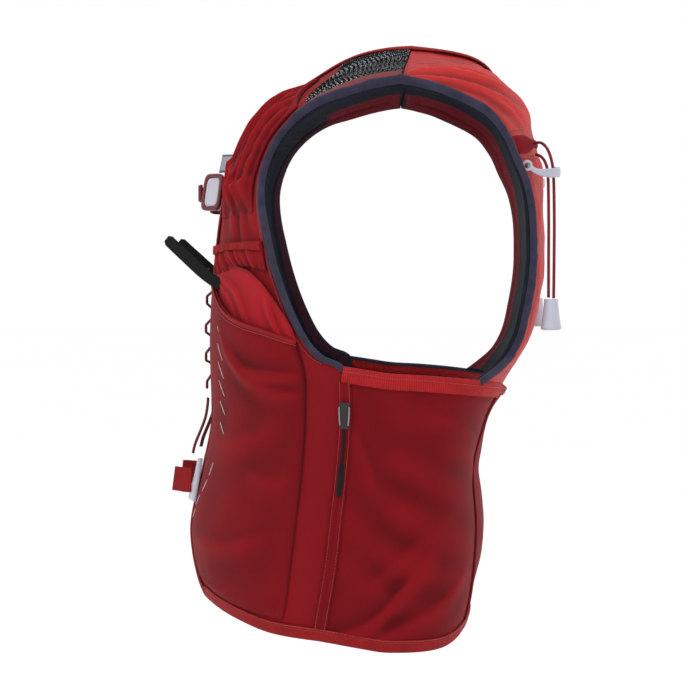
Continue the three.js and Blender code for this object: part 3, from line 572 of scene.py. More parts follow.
def wrap_profile(wide_out, wide_in, low, high, dome, thick, edge=0.8 * MM):
    """A strip folded round an edge: a domed run on the outside, a half ellipse round the edge and a run inside, given
    its thickness. low and high are where the cloth's two faces lie, one value for each station."""
    t = np.linspace(0, 1, 7)
    low, high = np.atleast_1d(low)[:, None], np.atleast_1d(high)[:, None]
    ones = np.ones_like(low)
    outer = np.stack([ones * (-wide_out * (1 - t)), high + thick / 2 + dome * hill(0.08 + 0.84 * t) ** 0.7], -1)
    turn = np.linspace(np.pi / 2, -np.pi / 2, 7)[1:-1]
    middle, half = (high + low) / 2, (high - low + thick) / 2
    bend = np.stack([ones * (edge + thick / 2) * np.cos(turn), middle + half * np.sin(turn)], -1)
    t = np.linspace(0, 1, 3)
    inner = np.stack([ones * (-wide_in * t), (low - thick / 2) * np.ones_like(t)], -1)
    centre = np.concatenate([outer, bend, inner], axis=1)
    ahead = unit(np.gradient(centre, axis=1))
    normal = np.stack([-ahead[..., 1], ahead[..., 0]], -1)
    return np.concatenate([centre + normal * thick / 2, (centre - normal * thick / 2)[:, ::-1]], axis=1)


class Field:
    """A socket in a formula: arithmetic on it adds Math nodes, with fields or plain numbers on either side."""

    def __init__(self, finish, socket):
        self.finish, self.socket = finish, socket

    def with_math(self, operation, *values):
        node = self.finish.node("ShaderNodeMath", {"operation": operation}, dict(enumerate(values)))
        return Field(self.finish, node.outputs[0])

    def __add__(self, other):
        return self.with_math("ADD", self, other)

    def __sub__(self, other):
        return self.with_math("SUBTRACT", self, other)

    def __rsub__(self, other):
        return self.with_math("SUBTRACT", other, self)

    def __mul__(self, other):
        return self.with_math("MULTIPLY", self, other)

    __radd__, __rmul__ = __add__, __mul__

    def sine(self):
        return self.with_math("SINE", self)

    def least(self, other):
        return self.with_math("MINIMUM", self, other)

    def most(self, other):
        return self.with_math("MAXIMUM", self, other)

    def between(self, low, high):
        node = self.finish.node("ShaderNodeMapRange", {"interpolation_type": "SMOOTHSTEP"},
                                {"Value": self, "From Min": low, "From Max": high})
        return Field(self.finish, node.outputs[0])


class Finish:
    """A material under construction: a Principled shader, and one method that adds any other node."""

    def __init__(self, name, roughness, **fixed):
        self.material = bpy.data.materials.new(name)
        self.material.use_nodes = True
        self.tree = self.material.node_tree
        self.shader = next(n for n in self.tree.nodes if n.type == "BSDF_PRINCIPLED")
        self.shader.inputs["Roughness"].default_value = roughness
        for key, value in fixed.items():
            self.shader.inputs[key.replace("_", " ").title().replace("Ior", "IOR")].default_value = value

    def put(self, socket, value):
        if isinstance(value, Field):
            self.tree.links.new(value.socket, socket)
        elif isinstance(value, bpy.types.NodeSocket):
            self.tree.links.new(value, socket)
        else:
            socket.default_value = value

    def node(self, kind, settings=None, sockets=None):
        made = self.tree.nodes.new(kind)
        for key, value in (settings or {}).items():
            setattr(made, key, value)
        for key, value in (sockets or {}).items():
            self.put(made.inputs[key], value)
        return made

    def cloth(self):
        """The cloth's own two coordinates, in metres."""
        split = self.node("ShaderNodeSeparateXYZ", {},
                          {0: self.node("ShaderNodeUVMap", {"uv_map": "cloth"}).outputs[0]})
        return Field(self, split.outputs[0]), Field(self, split.outputs[1])

    def place(self):
        return self.node("ShaderNodeTexCoord").outputs["Object"]

    def noise(self, scale, detail=2.0, stretch=None):
        vector = self.place()
        if stretch:
            vector = self.node("ShaderNodeMapping", {}, {"Vector": vector, "Scale": stretch}).outputs[0]
        made = self.node("ShaderNodeTexNoise", {}, {"Vector": vector, "Scale": scale, "Detail": detail})
        return Field(self, made.outputs[0])

    def mark(self, name):
        return Field(self, self.node("ShaderNodeAttribute", {"attribute_name": name}).outputs["Fac"])

    def mix(self, factor, a, b):
        made = self.node("ShaderNodeMix", {"data_type": "RGBA"}, {0: factor, 6: a, 7: b})
        return made.outputs[2]

    def done(self, base, bump=None, depth=0.2 * MM, roughness=None):
        self.put(self.shader.inputs["Base Color"], base)
        if roughness is not None:
            self.put(self.shader.inputs["Roughness"], roughness)
        if bump is not None:
            node = self.node("ShaderNodeBump", {}, {"Height": bump, "Distance": depth, "Strength": 1.0})
            self.put(self.shader.inputs["Normal"], node.outputs[0])
        return self.material


def wave(field, pitch, phase=0.0):
    """A sine wave of a given pitch, from 0 to 1."""
    return (field * (2 * math.pi / pitch) + phase).sine() * 0.5 + 0.5


def offset_dots(u, v, wide, tall):
    """Dots in offset rows: the product of two waves, plus the same product half a pitch on in both ways."""
    return wave(u, wide) * wave(v, tall) + wave(u, wide, math.pi) * wave(v, tall, math.pi)


FINISHES = {}


def finish(name):
    """The finish of that name, made the first time it is asked for."""
    if name not in FINISHES:
        FINISHES[name] = MAKERS[name]()
    return FINISHES[name]


def knit(key, name, pitch=1.3 * MM, sheen=0.03, contrast=0.12, strength=1.0):
    """Stretch knit: fine ribs up the cloth crossed by finer rows, with slow streaks and a fuzz of noise, and painted
    shade in the hollows of folds and a painted highlight on their ridges.
    """
    def make():
        f = Finish(name, 0.85, sheen_weight=sheen, sheen_roughness=0.5, specular_ior_level=0.12)
        u, v = f.cloth()
        streak = f.noise(26, 3, (1, 1, 0.35))
        ribs = wave(u + f.noise(160, 1) * 0.0012, pitch)
        rows = wave(v + f.noise(140, 1) * 0.0010, pitch * 0.8)
        loops = ribs * 0.6 + rows * 0.4
        fuzz = f.noise(1500, 2)
        tone = (loops * 0.15 + streak * 0.9 + fuzz * 0.4).between(0.2, 1.2)
        base = f.mix(tone, colour(key, strength * (1 - contrast * 1.6)), colour(key, strength * (1 + contrast * 1.3)))
        # Painted shade and highlight: where the cloth lies below its neighbours it is mixed towards a darker copy of
        # the colour, and where it stands above them towards a lighter one.
        fold = f.mark("fold")
        base = f.mix((fold * -0.75).most(0.0), base, colour(key, 0.42))
        base = f.mix((fold * 0.4).most(0.0), base, colour(key, 1.6))
        return f.done(base, loops * 0.35 + fuzz * 0.7 + streak * 0.5, 0.1 * MM, 0.78 + 0.15 * fuzz)
    return make


def nylon(key, name):
    """Light nylon: a tight plain weave, small soft crumples and a faint gloss along them, with painted shade in the
    hollows of folds and a painted highlight on their ridges.
    """
    def make():
        f = Finish(name, 0.6, sheen_weight=0.02, specular_ior_level=0.25)
        u, v = f.cloth()
        weave = wave(u, 0.7 * MM) * wave(v, 0.7 * MM)
        ripstop = (wave(u, 5.2 * MM).between(0.965, 1.0)).most(wave(v, 5.2 * MM).between(0.965, 1.0))
        crumple = f.noise(48, 4)
        small = f.noise(190, 3)
        tone = (crumple * 0.8 + small * 0.3 + weave * 0.2).between(0.35, 1.0)
        base = f.mix(tone, colour(key, 0.84), colour(key, 1.12))
        base = f.mix(ripstop * 0.12, base, colour(key, 1.35))
        # Painted shade and highlight: hollows of folds are mixed towards a darker copy of the colour, and ridges
        # towards a lighter one.
        fold = f.mark("fold")
        base = f.mix((fold * -0.6).most(0.0), base, colour(key, 0.45))
        base = f.mix((fold * 0.5).most(0.0), base, colour(key, 1.45))
        return f.done(base, crumple * 2.2 + small * 0.8 + weave * 0.12 + ripstop * 0.1, 0.55 * MM, 0.5 + 0.2 * small)
    return make


def tape(key, name, pitch=0.9 * MM, across=True, contrast=0.2, strength=1.0):
    """Elastic tape: ribs across it, a slow shade along it and a rolled, slightly worn look."""
    def make():
        f = Finish(name, 0.75, sheen_weight=0.02, specular_ior_level=0.15)
        u, v = f.cloth()
        ribs = wave(v if across else u, pitch)
        fine = wave(u if across else v, pitch * 0.55)
        wear = f.noise(70, 3)
        fuzz = f.noise(900, 2)
        tone = (ribs * 0.45 + wear * 0.8 + fuzz * 0.3).between(0.25, 1.25)
        base = f.mix(tone, colour(key, strength * (1 - contrast * 1.5)), colour(key, strength * (1 + contrast)))
        return f.done(base, ribs + fine * 0.4 + fuzz * 0.5, 0.18 * MM, 0.6 + 0.25 * fuzz)
    return make


def padded_mesh():
    """Padded lining: navy mesh with small holes in offset rows; beside the armhole, dark red dots on navy."""
    f = Finish("padded_lining", 0.85, sheen_weight=0.02, specular_ior_level=0.12)
    u, v = f.cloth()
    holes = offset_dots(u, v, 2.4 * MM, 2.1 * MM).between(0.55, 0.95)
    cloud = f.noise(35, 3)
    fuzz = f.noise(1200, 2)
    base = f.mix((cloud * 0.9 + fuzz * 0.3).between(0.2, 1.0), colour("navy", 0.55), colour("navy", 1.25))
    base = f.mix(holes * 0.55, base, colour("navy", 0.35))
    beside = 1 - f.mark("beside").between(9 * MM, 10 * MM)
    dots = wave(u, 1.9 * MM) * wave(v, 1.9 * MM)
    rear = f.mark("rear")
    base = f.mix(beside * (dots.between(0.25, 0.7) * 0.75 + 0.1 + rear).least(1.0), base, [0.16, 0.006, 0.013, 1])
    return f.done(base, (1 - holes) + fuzz * 0.5 + dots * beside, 0.3 * MM, 0.75 + 0.2 * fuzz)


def spacer_mesh():
    """Open spacer mesh: black knit round hollows, with the pale layer below glinting in them."""
    f = Finish("spacer_mesh", 0.9, specular_ior_level=0.05)
    u, v = f.cloth()
    pale = offset_dots(u, v, 4.6 * MM, 4 * MM).between(0.74, 0.9)
    fuzz = f.noise(1400, 2)
    base = f.mix(fuzz, colour("black", 0.4), colour("black", 1.1))
    base = f.mix(pale * 0.8, base, [0.45, 0.47, 0.48, 1])
    return f.done(base, fuzz, 0.08 * MM, 0.8 + 0.15 * fuzz)


def dotted_mesh(name, ground, dot):
    """The mesh strip beside the piping: rows of small dots of one colour on another."""
    def make():
        f = Finish(name, 0.8, sheen_weight=0.15, specular_ior_level=0.25)
        u, v = f.cloth()
        dots = offset_dots(u, v, 1.9 * MM, 1.7 * MM).between(0.45, 0.85)
        base = f.mix(dots * 0.8 + 0.1, ground, dot)
        return f.done(base, dots + f.noise(900, 2) * 0.5, 0.3 * MM)
    return make


def piping_cloth():
    """Piping: a folded strip with a diagonal weave, paler where it is rubbed."""
    f = Finish("slate_piping", 0.8, sheen_weight=0.05, specular_ior_level=0.15)
    u, v = f.cloth()
    twill = wave(u + v, 0.8 * MM)
    rubbed = f.noise(90, 3)
    fuzz = f.noise(1100, 2)
    base = f.mix((rubbed * 0.9 + twill * 0.3 + fuzz * 0.2).between(0.3, 1.1), colour("slate", 0.62),
                 colour("slate", 1.4))
    return f.done(base, twill + fuzz * 0.6 + rubbed, 0.22 * MM, 0.7 + 0.2 * fuzz)


def braid():
    """Braided cord: two sets of strands wound in opposite ways, one in sixteen pale."""
    f = Finish("braided_cord", 0.7, sheen_weight=0.03, specular_ior_level=0.2)
    u, v = f.cloth()
    one, two = wave(u * 1.2 + v, 1.2 * MM), wave(u * 1.2 - v, 1.2 * MM)
    strands = one.most(two)
    fleck = (one * two).between(0.75, 0.95)
    base = f.mix(strands, colour("cord", 0.5), colour("cord", 1.3))
    base = f.mix(fleck * 0.35, base, [0.62, 0.22, 0.24, 1])
    return f.done(base, strands, 0.25 * MM)


def ribbon():
    """Grey ribbon: ribs along it and a darker, denser band at both edges."""
    f = Finish("grey_ribbon", 0.6, sheen_weight=0.1)
    u, v = f.cloth()
    ribs = wave(v, 1.1 * MM)
    edge = f.mark("edge")
    base = f.mix(ribs * 0.6 + f.noise(200, 2) * 0.4, colour("ribbon", 0.75), colour("ribbon", 1.25))
    base = f.mix(edge, base, colour("ribbon", 0.3))
    return f.done(base, ribs, 0.2 * MM)


def plastic(key, name, roughness, strength=1.0, coat=0.0):
    """Moulded plastic: a fine grain with a few soft scuffs."""
    def make():
        f = Finish(name, roughness, coat_weight=coat)
        grain = f.noise(2200, 2)
        scuff = f.noise(60, 4, (1, 1, 0.3))
        base = f.mix(scuff.between(0.35, 0.75), colour(key, 0.9 * strength), colour(key, 1.06 * strength))
        return f.done(base, grain + scuff * 0.5, 0.05 * MM, roughness + 0.22 * (scuff - 0.5))
    return make


def thread(key, name, brighter):
    """Sewing thread: a fine noise between two shades."""
    def make():
        f = Finish(name, 0.55, sheen_weight=0.2)
        return f.done(f.mix(f.noise(700, 1), colour(key, 0.8 * brighter), colour(key, 1.2 * brighter)))
    return make


def backdrop():
    """Floor: nearly white, with a slow noise."""
    f = Finish("pale_floor", 0.9, specular_ior_level=0.0)
    return f.done(f.mix(f.noise(2, 2), [0.985, 0.985, 0.985, 1], [1, 1, 1, 1]))


MAKERS = {
    "crimson": knit("crimson", "crimson_stretch"),
    "bright": knit("bright", "bright_stretch", 1.1 * MM, 0.03, 0.12),
    # Painted light: the front cloth's colour brightened 1.75 times for the back wall inside the flask pockets, where
    # shade would fall.
    "mouth": knit("bright", "inner_stretch", 1.0 * MM, 0.03, 0.1, 1.75),
    "nylon": nylon("nylon", "bag_nylon"),
    "binding": tape("binding", "bright_binding"),
    "lining": padded_mesh,
    "mesh": spacer_mesh,
    "red_dots": dotted_mesh("dotted_red_mesh", [0.09, 0.004, 0.010, 1], [0.36, 0.012, 0.030, 1]),
    "piping": piping_cloth,
    "cord": braid,
    "ribbon": ribbon,
    "webbing": tape("webbing", "dark_webbing", 1.3 * MM),
    "pale": plastic("pale", "pale_plastic", 0.42, 1.0, 0.1),
    "red_plastic": plastic("webbing", "red_plastic", 0.4, 1.1, 0.15),
    "tab": tape("black", "black_tab", 1.4 * MM, True, 0.35),
    "slider": plastic("black", "black_slider", 0.55, 0.9, 0.0),
    # Painted highlight: the binding colour brightened 1.3 times, to the tone of the elastic where the light catches
    # it.
    "elastic": tape("binding", "bright_elastic", 1.6 * MM, True, 0.25, 1.3),
    "steel": plastic("ribbon", "slider_edges", 0.25, 0.8, 0.2),
    "red_thread": thread("binding", "red_thread", 1.35),
    "dark_thread": thread("crimson", "crimson_thread", 1.25),
    "print": plastic("pale", "pale_print", 0.35, 1.15),
    "floor": backdrop,
}


def fold_depth(off):
    """How far each point of a layer stands above or lies below the mean of those round it: from 1 to -1. It is kept
    as the mark from which the finishes paint shade into the hollows and highlight onto the ridges.
    """
    mean = off
    for _ in range(40):
        wide = np.pad(mean, 1, mode="edge")
        mean = (wide[:-2, 1:-1] + wide[2:, 1:-1] + wide[1:-1, :-2] + wide[1:-1, 2:]) / 4
    return np.clip((off - mean) / (0.8 * MM), -1, 1)


def cloth_wall(name, place, us, vs, side, finish_name, stand=0.0, number=0, thickness=None, keep=None,
               **told):
    """A layer of cloth over a patch. It stands off by a layer number and by stand, given as metres or as a function
    of u, v and height."""
    u, v = np.meshgrid(us, vs)
    spots = place(u, v)
    height = spots[..., 1]
    off = stand(u, v, height) if callable(stand) else stand
    thick = size("cloth") if thickness is None else thickness
    inner = layer(number, height) + off
    # The fold depth is stored as a mark for painted shade in the hollows and a painted highlight on the ridges.
    marks = {"fold": fold_depth(np.broadcast_to(off, height.shape))}
    return wall(name, on_body(spots, inner + thick, side), on_body(spots, inner, side), finish(finish_name), keep,
                marks, **told)


def lining(name, place, us, vs, side, slot, armhole_at, finish_name="lining", channel=12 * MM, keep=None, **told):
    """A pad: both faces draw in round the rim, and a sewn channel runs beside it."""
    u, v = np.meshgrid(us, vs)
    spots = place(u, v)
    height = spots[..., 1]
    thick = padding(height)
    plain = on_body(spots, thick, side)
    rim = rim_distance(plain)
    along = measure(plain)[..., 0]
    if keep is not None:
        half = len(us) // 2
        inward = np.where(np.arange(len(us)) < half, along[:, half - 1:half] - along, along - along[:, half:half + 1])
        rim = np.minimum(rim, np.hypot(inward, np.maximum(NECK_CORNER - v, 0) * 0.25))
    full = np.sqrt(1 - (1 - np.clip(rim / (5 * MM), 0, 1)) ** 2)
    sewn = np.exp(-(((rim - channel) / (1.6 * MM)) ** 2))
    puff = 0.3 * MM * ripple(plain[..., 1], plain[..., 2], 5, 0.05) * smooth(14 * MM, 24 * MM, rim)
    half = thick / 2 * (0.45 + 0.55 * full)
    shallow = thick / size("padding")
    inner = thick / 2 - half + 0.9 * MM * sewn * shallow - puff * shallow
    beside = np.full(u.shape, 1.0)
    for column in armhole_at:
        edge = along[:, column:column + 1] if column >= 0 else along[:, -1:]
        beside = np.minimum(beside, np.abs(along - edge))
    outer = thick / 2 + half
    rear = np.full(u.shape, 1.0) if keep is not None else smooth(0.8, 0.86, v)
    inside = np.where(rim < 1.6 * MM, 1, beside * np.where(rear > 0.5, 0.4, 1))
    beside = np.stack([np.full(u.shape, 1.0), inside])
    made = wall(name, on_body(spots, outer, side), on_body(spots, inner, side), finish(finish_name), keep,
                marks={"beside": beside, "rear": rear}, slot=slot, **told)
    return made


class VestOperator(bpy.types.Operator):
    """One step of the build."""
    bl_options = {"REGISTER", "UNDO"}

    def execute(self, context):
        self.build()
        return {"FINISHED"}


class VEST_OT_stage(VestOperator):
    """Camera at the photo's view from the wearer's left, pale floor and soft studio light"""
    bl_idname = "vest.stage"
    bl_label = "Stage"

    def build(self):
        scene = bpy.context.scene
        scene.view_settings.view_transform = "Standard"
        data = bpy.data.cameras.new("camera")
        data.sensor_width, data.lens = 36, 152.4
        camera = bpy.data.objects.new("camera", data)
        camera.location = (2.2, 0, -0.156)
        aim = Vector((0, -0.0403, -0.1955))
        camera.rotation_mode = "QUATERNION"
        camera.rotation_quaternion = (aim - camera.location).to_track_quat("-Z", "Y")
        data.clip_start, data.clip_end = 0.01, 100
        scene.collection.objects.link(camera)
        scene.camera = camera
        world = bpy.data.worlds.new("studio")
        world.use_nodes = True
        background = world.node_tree.nodes["Background"]
        background.inputs[0].default_value = (1, 1, 1, 1)
        background.inputs[1].default_value = 1.0
        scene.world = world
        for name, where, wide, power in (
            ("key", (1.5, -1.2, 1.6), 0.9, 9), ("top", (0.2, 0.4, 1.9), 1.2, 7), ("back", (-1.0, 1.9, 0.9), 1.2, 4),
        ):
            light = bpy.data.lights.new(name, "AREA")
            light.shape, light.size, light.energy = "DISK", wide, power
            lamp = bpy.data.objects.new(name, light)
            lamp.location = where
            lamp.rotation_mode = "QUATERNION"
            lamp.rotation_quaternion = (Vector((0, 0, -0.2)) - lamp.location).to_track_quat("-Z", "Y")
            scene.collection.objects.link(lamp)
        reach, low = 30.0, -0.62
        mesh = bpy.data.meshes.new("floor")
        mesh.from_pydata([(-reach, -reach, low), (reach, -reach, low), (reach, reach, low), (-reach, reach, low)], [],
                         [(0, 1, 2, 3)])
        mesh.materials.append(finish("floor"))
        floor = bpy.data.objects.new("floor", mesh)
        scene.collection.objects.link(floor)


class VEST_OT_drawcords(VestOperator):
    """The bag's drawcords, the hooks that hold them out and the bell-shaped cord locks"""
    bl_idname = "vest.drawcords"
    bl_label = "Drawcords"

    def build(self):
        thick = size("cord_diameter")
        for name, side in SIDES:
            ends = []
            for cord, rows in CORD_ROUTES.items():
                route = smooth_path(off_the_cloth(rows, side), 60)
                ends.append(route[-1])
                made = carried(f"{cord}_{name}", route,
                               np.tile([0.0, 1.0, 0.0], (len(route), 1)) + [0.3 * side, 0, 0],
                               oval(thick, thick, 10), finish("cord"), stands_for=f"{cord}_{name}", slot="cord")
            top = (ends[0] + ends[1]) / 2
            top[2] = min(ends[0][2], ends[1][2])
            lock = self.cord_lock(name, top)
            self.hook(name, side)

    def cord_lock(self, name, top):
        """A bell turned about the cords' axis: narrow top, flared skirt, rounded rim and a ring below."""
        rows = [[0.05, 0], [0.6, 0], [0.67, -0.02], [0.7, -0.14], [0.76, -0.36], [0.85, -0.6], [0.94, -0.8],
                [0.985, -0.87],
                [1, -0.91], [0.985, -0.95], [0.9, -0.985], [0.74, -1], [0.7, -0.985], [0.66, -0.985], [0.62, -1],
                [0.4, -1],
                [0.36, -0.95], [0.05, -0.95]]
        profile = line(rows)(np.linspace(0, 1, 90))
        turn = np.linspace(0, 2 * np.pi, 40, endpoint=False)
        ring = np.stack([np.cos(turn), np.sin(turn)], -1)
        squeeze = 1 - 0.05 * np.abs(ring[None, :, 0]) ** 3 * smooth(-0.2, -0.6, profile[:, 1])[:, None]
        r = profile[:, :1] * 7.4 * MM * squeeze
        z = np.broadcast_to(profile[:, 1:] * 22.5 * MM, r.shape)
        grid = np.stack([r * ring[None, :, 0], r * ring[None, :, 1], z], -1) + (top - [0, 0, 0.4 * MM])
        return tube(f"cord_lock_{name}", grid, finish("pale"), stands_for=f"cord_lock_{name}", slot="pale_plastic")

    def hook(self, name, side):
        """A flat bar bent round the cords: it leaves a round eye at its front end, dips and rises again."""
        route = smooth_path(off_the_cloth(HOOK_ROUTE, side), 60)
        share = np.linspace(0, 1, len(route))
        route[:, 2] += (2.6 * np.exp(-((share / 0.16) ** 2)) - 1.8 * hill(share * 1.05)) * MM
        share = share[:, None, None]
        tall = 7.2 * MM * (0.5 + 0.5 * smooth(0.12, 0.5, share) * (0.85 + 0.15 * np.cos(9 * share)))
        section = sized(strap_profile(1, 0.36, 7), 2.3 * MM, tall / 0.36)
        out = np.tile([0.0, 0.0, 1.0], (len(route), 1))
        carried(f"cord_hook_{name}", route, out, section, finish("pale"), stands_for=f"cord_hook_{name}",
                slot="pale_plastic")
        turn = np.linspace(0, 2 * np.pi, 33)[:-1]
        eye = route[2] + np.stack([1.6 * side * MM + 0 * turn, (3 * np.cos(turn) - 1.6) * MM,
                                   (3 * np.sin(turn) + 0.8) * MM], -1)
        loop = np.concatenate([eye, eye[:1]])
        carried(f"hook_eye_{name}", loop, np.tile([1.0 * side, 0, 0], (len(loop), 1)), oval(2.2 * MM, 2.4 * MM, 10),
                finish("pale"), slot="pale_plastic")


class VEST_OT_linings(VestOperator):
    """Padded linings of the straps, the back and the lower back"""
    bl_idname = "vest.linings"
    bl_label = "Linings"

    def build(self):
        for name, side in SIDES:
            lining(f"lining_front_{name}", FRONT, eased(40, 0, 0.993), eased(132, 0, 0.998), side, "lining", [-1],
                   stands_for=f"lining_front_{name}")
        half, vs = eased(40, 0.007, 0.998, 0.0), eased(84, 0.002, 0.998)
        us, sides = both_halves(half)
        lining("lining_back", UPPER_BACK, us, vs, sides, "lining", [0, -1], keep=parted_at_neck(half, vs),
               stands_for="lining_back")
        lining("lower_back_panel", LOWER_BACK, us, eased(60), sides, "stretch_crimson", [], "crimson", 9 * MM,
               stands_for="lower_back_panel")


class VEST_OT_front(VestOperator):
    """Front panels of stretch cloth and the spacer mesh over the shoulders"""
    bl_idname = "vest.front"
    bl_label = "Front and shoulders"

    def build(self):
        def folds(u, v, height):
            """Long soft folds that follow the strap beside the armhole."""
            strap = smooth(0.45, 0.56, v) * smooth(0.86, 0.78, v)
            soft = 0.5 * MM * strap * (1 + np.sin(2 * np.pi * (2.6 * u + 0.5 * v))) * hill(u)
            chest = smooth(-0.31, -0.27, height) * smooth(-0.2, -0.24, height) * hill(u) ** 0.7
            return soft + 0.9 * MM * chest * (1 + np.sin(2 * np.pi * (4.2 * u + 6 * height) + 1.3 * np.sin(9 * u)))
        for name, side in SIDES:
            us, vs = eased(52, 0, 0.993), even(150, 0, 0.998)
            u, v = np.meshgrid((us[1:] + us[:-1]) / 2, (vs[1:] + vs[:-1]) / 2)
            keep = ~((u > MESH_FROM_U + 0.02) & (v > mesh_from(u) + 0.006))
            cloth_wall(f"front_panel_{name}", FRONT, us, vs, side, "bright", folds, keep=keep,
                       stands_for=f"front_panel_{name}", slot="stretch_bright")
            self.mesh(name, side)

    def mesh(self, name, side):
        """Spacer mesh: hollows in offset rows, d = cos(a) cos(b) over the cloth's own coordinates."""
        u, v = np.meshgrid(even(80, MESH_FROM_U, 0.993), even(92))
        v = mesh_from(u) + (0.998 - mesh_from(u)) * v
        spots = FRONT(u, v)
        height = spots[..., 1]
        low = layer(0, height)
        plain = on_body(spots, low, side)
        cloth = measure(plain)
        a, b = cloth[..., 0] * 2 * np.pi / (3.6 * MM), cloth[..., 1] * 2 * np.pi / (3.2 * MM)
        hollow = (np.sin(a) * 0.5 + 0.5) * (np.sin(b) * 0.5 + 0.5) + (0.5 - np.sin(a) * 0.5) * (0.5 - np.sin(b) * 0.5)
        rim = smooth(0, 3 * MM, rim_distance(plain))
        high = low + (1.8 + 1.1 * rim - 1.1 * smooth(0.4, 0.95, hollow) * rim) * MM
        wall(f"shoulder_mesh_{name}", on_body(spots, high, side), plain, finish("mesh"),
             stands_for=f"shoulder_mesh_{name}", slot="spacer_mesh")


class VEST_OT_side_panels(VestOperator):
    """Stretch side panels with sag folds"""
    bl_idname = "vest.side_panels"
    bl_label = "Side panels"

    def build(self):
        for name, side in SIDES:
            def stand(u, v, height):
                soft = size("side_fold") * hill(u) * hill(v) * smooth(0.06, 0.4, 1 - v)
                soft = soft * np.cos(2 * np.pi * (3 * v + 0.9 * u)) ** 2 * 0.6
                x, y = u * 0.12, v * 0.19
                sags = creases(x, y, [
                    [10, 6, 75, 75, -10, 5, 2.2], [45, 10, 100, 60, -8, 6, 1.6],
                    [20, 45, 85, 100, -6, 8, 1], [80, 150, 118, 120, 4, 6, 1.2],
                    [60, 168, 112, 140, 4, 5, 0.8], [4, 150, 30, 110, 2, 5, 0.8],
                ])
                edge = smooth(0, 0.08, u) * smooth(1, 0.92, u) * smooth(0, 0.05, v) * smooth(1, 0.93, v)
                return soft + (sags + 0.25 * MM * (1 + ripple(x, y, 3, 0.05))) * edge
            made = cloth_wall(f"side_panel_{name}", SIDE, eased(76, 0.0035, 0.9965, 0.3), eased(104, 0, 1, 0.3), side,
                              "crimson", stand, stands_for=f"side_panel_{name}", slot="stretch_crimson")


class VEST_OT_back_bag(VestOperator):
    """The light nylon bag across the shoulder blades, with long creases and the drawcord channel"""
    bl_idname = "vest.back_bag"
    bl_label = "Back bag"

    def stand(self, u, v, height):
        """The bag's bulge: roots of half sine waves across and up, flattened beside the neck."""
        beside = 1 - smooth(0.35, 0.95, u) * smooth(NECK_CORNER - 0.15, NECK_CORNER, v)
        rise = hill(np.maximum(u - 0.06, 0) / 1.88)
        return size("bag_bulge") * np.sqrt(rise) * hill(v) ** 0.7 * (0.45 + 0.55 * smooth(0.45, 0.8, v)) * beside

    def channel_height(self, u):
        """Where the drawcords' channel runs, as a share of the bag's height: a line that falls from the armhole."""
        return 0.578 + 0.107 * (1 - u)

    def build(self):
        half, vs = eased(70, 0.007, 0.998, 0.25), eased(132, 0.002, 0.998, 0.2)
        us, sides = both_halves(half)

        def stand(u, v, height):
            across = np.where(np.asarray(sides)[None] > 0, u, 2 - u)
            x, y = across * 0.13, v * 0.24
            long = [
                [18, 236, 36, 135, 6, 3.6, 4], [34, 238, 60, 130, 9, 5, 4.6],
                [56, 234, 88, 130, 6, 6, 3], [26, 200, 34, 150, -3, 2.6, 1.8],
                [74, 215, 104, 165, 4, 5, 2.2], [46, 176, 56, 136, 3, 2.8, 1.6],
                [18, 130, 60, 110, -4, 4, 1.4], [30, 105, 30, 20, 5, 5, 1.8],
                [60, 118, 75, 15, 6, 6, 1.6], [100, 125, 105, 10, 6, 6, 1.6],
            ]
            mirrored = [[260 - a, b + 4, 260 - c, d - 6, -bow, half, high] for a, b, c, d, bow, half, high in long]
            low = creases(x, y, long) + creases(x, y, mirrored)
            channel = self.channel_height(u)
            flat = 1 - 0.92 * np.exp(-(((v - channel) / 0.045) ** 4)) * smooth(0.72, 0.6, u)
            edge = smooth(0, 0.08, u) * smooth(0, 0.05, v) * smooth(1, 0.95, v)
            crumple = 0.35 * MM * (1 + ripple(x, y, 11, 0.035)) + 0.15 * MM * ripple(x, y, 12, 0.014)
            return self.stand(u, v, height) + (low - 0.6 * MM + crumple) * edge * flat
        made = cloth_wall("back_bag", UPPER_BACK, us, vs, sides, "nylon", stand, thickness=0.9 * MM,
                          keep=parted_at_neck(half, vs), stands_for="back_bag", slot="bag_nylon")
        self.channel()

    def channel(self):
        """The casing that the drawcords run in: an oval rib, wide at the armhole, slim behind, between stitches."""
        us = even(150, 0.02, 0.62)
        rows = []
        for name, side in SIDES:
            vs = self.channel_height(us)
            spots = UPPER_BACK(us, vs)
            off = layer(0, spots[:, 1]) + self.stand(us, vs, None) + 0.9 * MM
            points, out = path_on(spots, off, side)
            share = np.linspace(0, 1, len(us))
            fade = 0.3 + 0.7 * smooth(0, 0.04, share) * smooth(1, 0.85, share)
            pulled = 1 + 1.1 * smooth(0.5, 0.2, share)
            gathers = 1 + 0.16 * np.sin(share * 2 * np.pi * 34) * smooth(0.02, 0.06, share)
            section = sized(oval(1, 1, 16), 6.5 * MM * pulled, 3.6 * MM * fade * gathers)
            carried(f"cord_channel_{name}", points, out, section, finish("crimson"), slot="stretch_crimson")
            for shift in (-0.036, 0.036):
                spots = UPPER_BACK(us, vs + shift)
                rows.append(path_on(spots, layer(0, spots[:, 1]) + self.stand(us, vs + shift, None) + 1.7 * MM, side))
        stitches("stitches_cord_channel", rows, finish("red_thread"), slot="binding")


